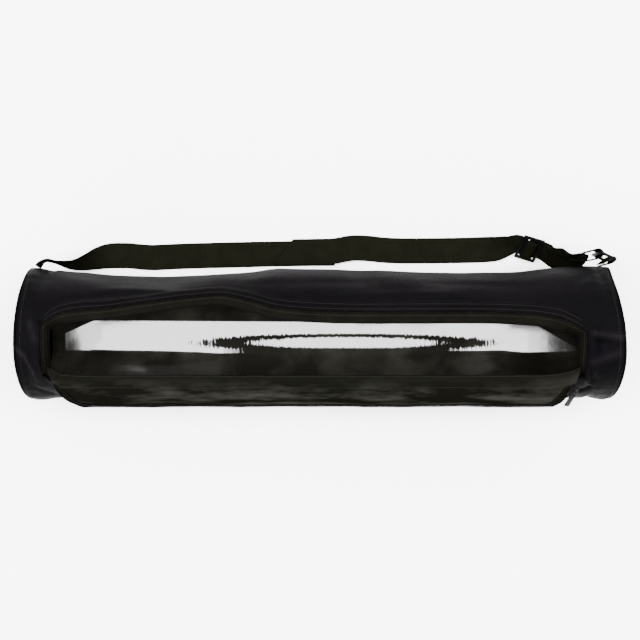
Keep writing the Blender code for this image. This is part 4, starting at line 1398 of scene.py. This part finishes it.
def make_flap_zip(flap, mats):
    height = CLOTH / 2 + STITCH_LIFT + TAPE_THICKNESS / 2
    insets = spread(GAP, TAPE_WIDTH, TAPE_COLUMNS)
    edges = [fine_flap_edge(inset) for inset in insets]
    points, lengths = [], []
    run = 0.0
    for i in range(len(edges[0])):
        row = [on_flap(flap, edge[i], height) for edge in edges]
        if points:
            run += (row[0] - points[-1][0]).length
        points.append(row)
        lengths.append([(run, inset) for inset in insets])
    tape = grid_object("zip_tape_flap", points, lengths)
    facing(tape, lambda c: flap.normal(0.5, 0.9))
    thicken(tape, TAPE_THICKNESS, 0)
    finished(tape, ["zipper_tape_flap"], [mats["tape"]])
    up = height + TAPE_THICKNESS / 2 + COIL_RADIUS * 0.6
    places = fine_flap_edge(COIL_RADIUS * 1.8)
    line = [on_flap(flap, place, up) for place in places]
    for number, inset in enumerate(FLAP_STITCHES):
        over = [place for place in fine_flap_edge(inset) if place.y > 0.5]
        seam = [on_flap(flap, place, height + TAPE_THICKNESS / 2) for place in over]
        stitches(f"flap_stitches_{number}", seam, [flap.normal(p.x, p.y) for p in over], mats)
    for number, down in enumerate(FOLD_STITCHES):
        over = [Vector((share, down)) for share in spread(0.005, 0.995, 260)]
        seam = [on_flap(flap, place, CLOTH / 2 + STITCH_LIFT) for place in over]
        stitches(f"fold_stitches_{number}", seam, [flap.normal(p.x, p.y) for p in over], mats)
    coil = coil_object("zip_coil_flap", line, [flap.normal(p.x, p.y) for p in places])
    finished(coil, ["zipper_coil_flap"], [mats["coil"]], 60)
    return up + COIL_RADIUS + GAP


def cube(name, size, place=Matrix.Identity(4)):
    bpy.ops.object.select_all(action="DESELECT")
    bpy.ops.mesh.primitive_cube_add(size=1.0)
    made = bpy.context.object
    made.name = name
    made.data.name = name
    made.data.transform(place @ Matrix.Diagonal((*size, 1.0)))
    return made


def applied(obj, kind, **values):
    """Adds one modifier, sets its values and applies it."""
    activate(obj)
    step = obj.modifiers.new(kind, kind)
    for key, value in values.items():
        setattr(step, key, value)
    bpy.ops.object.modifier_apply(modifier=step.name)
    return obj


def boolean(obj, other, operation="DIFFERENCE"):
    applied(obj, "BOOLEAN", object=other, operation=operation, solver="EXACT")
    bpy.data.objects.remove(other, do_unlink=True)
    return obj


def rounded(obj, width, segments):
    angle = math.radians(30.0)
    return applied(obj, "BEVEL", width=width, segments=segments, limit_method="ANGLE", angle_limit=angle)


def shift(x=0.0, y=0.0, z=0.0):
    return Matrix.Translation((x, y, z))


def make_slider(flap, height, mats):
    across, down = 1 - (COIL_RADIUS + GAP) / (flap.right - flap.left), SLIDER_PLACE + 0.06
    origin = flap.lifted(across, down, height + SLIDER_HEIGHT / 2)
    forward = flap.point(across, down + 0.05) - flap.point(across, down - 0.05)
    place = frame_matrix(origin, forward, flap.normal(across, down))
    plate = SLIDER_HEIGHT * 0.26
    size = Vector((SLIDER_LENGTH, SLIDER_WIDTH, SLIDER_HEIGHT))

    def block(name, share, up):
        return cube(name, [a * b for a, b in zip(size, share)], shift(z=SLIDER_HEIGHT * up))

    slider = block("slider", (1, 1, 0.26), -0.37)
    top = block("top", (1, 1, 0.26), 0.14)
    for piece in (slider, top):
        rounded(piece, plate * 0.3, 2)
    core = block("core", (0.3, 0.3, 0.6), -0.1)
    bridge = block("bridge", (0.62, 0.26, 0.42), 0.30)
    rounded(bridge, SLIDER_HEIGHT * 0.12, 3)
    for other in (core, top, bridge):
        boolean(slider, other, "UNION")
    slider.data.transform(place)
    finished(slider, ["zipper_slider"], [mats["metal"]])
    away = SLIDER_HEIGHT / 2 + GAP + PULL_THICKNESS / 2
    reach = PULL_LENGTH / 2 - SLIDER_LENGTH / 4
    pull = cube("pull", (PULL_LENGTH, PULL_WIDTH, PULL_THICKNESS))
    hole = (PULL_LENGTH * 0.16, PULL_WIDTH * 0.5, PULL_THICKNESS * 3)
    boolean(pull, cube("hole", hole, shift(x=-PULL_LENGTH * 0.38)))
    rounded(pull, PULL_THICKNESS * 0.4, 3)
    pull.data.transform(place @ shift(reach, 0, away))
    finished(pull, ["zipper_pull"], [mats["metal"]])


def resampled(rows, spacing):
    """Rows of (middle, width direction) at even steps on a smooth line through the given ones."""
    lengths = run_lengths([middle for middle, _ in rows])
    last = len(rows) - 1

    def slope(i, item):
        before, after = max(i - 1, 0), min(i + 1, last)
        return (rows[after][item] - rows[before][item]) / (lengths[after] - lengths[before])

    count = int(lengths[-1] / spacing)
    made = []
    i = 0
    for n in range(count + 1):
        at = lengths[-1] * n / count
        while i < last - 1 and lengths[i + 1] < at:
            i += 1
        span = lengths[i + 1] - lengths[i]
        t = (at - lengths[i]) / span
        pair = []
        for item in (0, 1):
            slopes = slope(i, item), slope(i + 1, item)
            pair.append(smooth_step(t, span, rows[i][item], rows[i + 1][item], *slopes))
        made.append((pair[0], pair[1].normalized(), at))
    return made


def fold_skew(x):
    """The doubled strap lies askew: its left fold runs at a slant."""
    left, right = FOLD_LEFT * HALF, FOLD_RIGHT * HALF
    return FOLD_SKEW * fade(x, left - 0.045, left) * (1 - fade(x, left + 0.010, right - 0.006))


def webbing_object(name, rows, skew=None, across=12):
    """Ribbed band: every second row stands a little proud, and its edges are rolled."""
    fine = resampled(rows, RIB_PITCH)
    last = len(fine) - 1
    points, lengths = [], []
    for i, (middle, wide, at) in enumerate(fine):
        forward = (fine[min(i + 1, last)][0] - fine[max(i - 1, 0)][0]).normalized()
        side = (wide - forward * wide.dot(forward)).normalized()
        up = forward.cross(side)
        proud = RIB_HEIGHT if i % 2 else -RIB_HEIGHT
        slant = skew(middle.x) if skew else 0.0
        ring, flat = [], []
        for face in (1, -1):
            for share in spread(-face, face, across):
                edge = (1 - abs(share) ** 14) ** 0.5 * 0.62 + 0.38
                half = (STRAP_THICKNESS / 2 - RIB_HEIGHT) * edge + proud
                out = STRAP_WIDTH / 2 * share
                ring.append(middle + side * out + up * (face * half) + Vector((slant * out, 0, 0)))
                flat.append((at, out + (STRAP_WIDTH if face < 0 else 0)))
        points.append(ring)
        lengths.append(flat)
    return edit_mesh(grid_object(name, points, lengths, closed=True), close_ends)


def make_strap(strands, mats):
    fold = folded_rows()
    entry = weave_rows(strands)
    left = smooth_rows([seam_row()] + [strap_place(row) for row in STRAP_LEFT] + fold[:1], STRAP_STEPS)
    right = smooth_rows([fold[-1]] + [strap_place(row) for row in STRAP_RIGHT] + entry[:1], STRAP_STEPS)
    rows = left + fold[1:] + right[1:] + entry[1:] + loop_rows(strands)
    obj = webbing_object("carrying_strap", rows, skew=fold_skew)
    return finished(obj, ["strap"], [mats["webbing"]], 60)


def make_adjuster(strands, mats):
    middle, forward, _, up = strands.at(0.0)
    opening = (ADJUSTER_LENGTH - 3 * ADJUSTER_BAR) / 2
    plate = cube("adjuster", (ADJUSTER_LENGTH, strands.plate, ADJUSTER_THICKNESS))
    centre = (ADJUSTER_BAR + opening) / 2
    for side in (-1, 1):
        boolean(plate, cube("slot", (opening, STRAP_WIDTH + 2 * SLOT_PLAY, 0.01), shift(x=side * centre)))
    rounded(plate, ADJUSTER_THICKNESS * 0.32, 4)
    plate.data.transform(frame_matrix(middle + up * adjuster_levels()["plate"], forward, up))
    return finished(plate, ["strap_adjuster"], [mats["plastic"]])


def make_ring(strands, mats):
    near, far = ring_bars(strands)
    tall = STRAP_WIDTH + 2 * SLOT_CLEARANCE
    span = (far - near).length
    ring = cube("ring", (span + RING_BAR, RING_BAR, tall + 2 * RING_BAR))
    boolean(ring, cube("opening", (span - RING_BAR, 0.02, tall)))
    rounded(ring, RING_BAR * 0.42, 5)
    ring.data.transform(frame_matrix((near + far) / 2, far - near, Vector((0, 0, 1))))
    return finished(ring, ["strap_ring"], [mats["plastic"]])


def make_ring_tab(strands, mats):
    _, bar = ring_bars(strands)
    x = TUBE_END - STRAP_THICKNESS * 2
    seam = Vector((x, skin(x, 90.0).y, bar.z))
    forward = (bar - seam).normalized()
    side = Vector((-forward.y, forward.x, 0))
    seam.y += abs(side.y) * (LAYER + STRAP_THICKNESS) / 2 + 2 * GAP
    radius = RING_BAR / 2 + GAP + STRAP_THICKNESS / 2
    wide = Vector((0, 0, -1))
    rows = [(seam + side * LAYER / 2, wide), (bar - forward * radius + side * radius * 0.95, wide)]
    for turn in spread(0, math.pi, LOOP_STEPS):
        rows.append((bar + (side * math.cos(turn) + forward * math.sin(turn)) * radius, wide))
    rows += [(bar - forward * radius - side * radius * 0.95, wide), (seam - side * LAYER / 2, wide)]
    obj = webbing_object("ring_tab_webbing", rows)
    return finished(obj, ["ring_tab"], [mats["webbing"]], 60)


def make_stage():
    bpy.ops.object.select_all(action="DESELECT")
    bpy.ops.mesh.primitive_plane_add(size=12.0, location=(0, 0, 0))
    floor = bpy.context.object
    floor.name = "floor"
    net = Net("pale floor")
    floor.data.materials.append(net.shade(Base_Color=(0.95, 0.95, 0.95, 1.0), Roughness=0.9))
    world = bpy.context.scene.world or bpy.data.worlds.new("studio")
    bpy.context.scene.world = world
    world.use_nodes = True
    back = world.node_tree.nodes["Background"]
    back.inputs["Color"].default_value = (1.0, 1.0, 1.0, 1.0)
    back.inputs["Strength"].default_value = WORLD_LIGHT


def softbox(name, place, target, size, power):
    data = bpy.data.lights.new(name, "AREA")
    data.shape = "RECTANGLE"
    data.size, data.size_y = size
    data.energy = power
    lamp = bpy.data.objects.new(name, data)
    bpy.context.scene.collection.objects.link(lamp)
    lamp.location = place
    lamp.rotation_mode = "QUATERNION"
    lamp.rotation_quaternion = (Vector(target) - Vector(place)).to_track_quat("-Z", "Y")
    return lamp


def make_lights():
    for lamp in LAMPS:
        place, target = (ORIGIN + Vector(lamp[key]) for key in ("place", "target"))
        softbox(lamp["name"], place, target, lamp["size"], lamp["power"])


def make_camera():
    data = bpy.data.cameras.new("camera")
    data.sensor_width = 36.0
    data.lens = FOCAL_PIXELS / PHOTO_WIDTH * data.sensor_width
    camera = bpy.data.objects.new("camera", data)
    bpy.context.scene.collection.objects.link(camera)
    camera.location = ORIGIN + Vector((0, CAMERA_FORWARD, AXIS_HEIGHT + CAMERA_HEIGHT))
    bpy.context.scene.camera = camera


def main():
    mats = materials()
    make_shell(mats)
    for side in (-1, 1):
        make_end(side, mats)
        make_piping(side, mats)
    make_body_zip(mats)
    make_shell_stitches(mats)
    flap = Flap()
    make_flap(flap, mats)
    height = make_flap_zip(flap, mats)
    make_slider(flap, height, mats)
    strands = Strands()
    make_strap(strands, mats)
    make_adjuster(strands, mats)
    make_ring(strands, mats)
    make_ring_tab(strands, mats)
    make_stage()
    make_lights()
    make_camera()
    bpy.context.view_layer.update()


main()
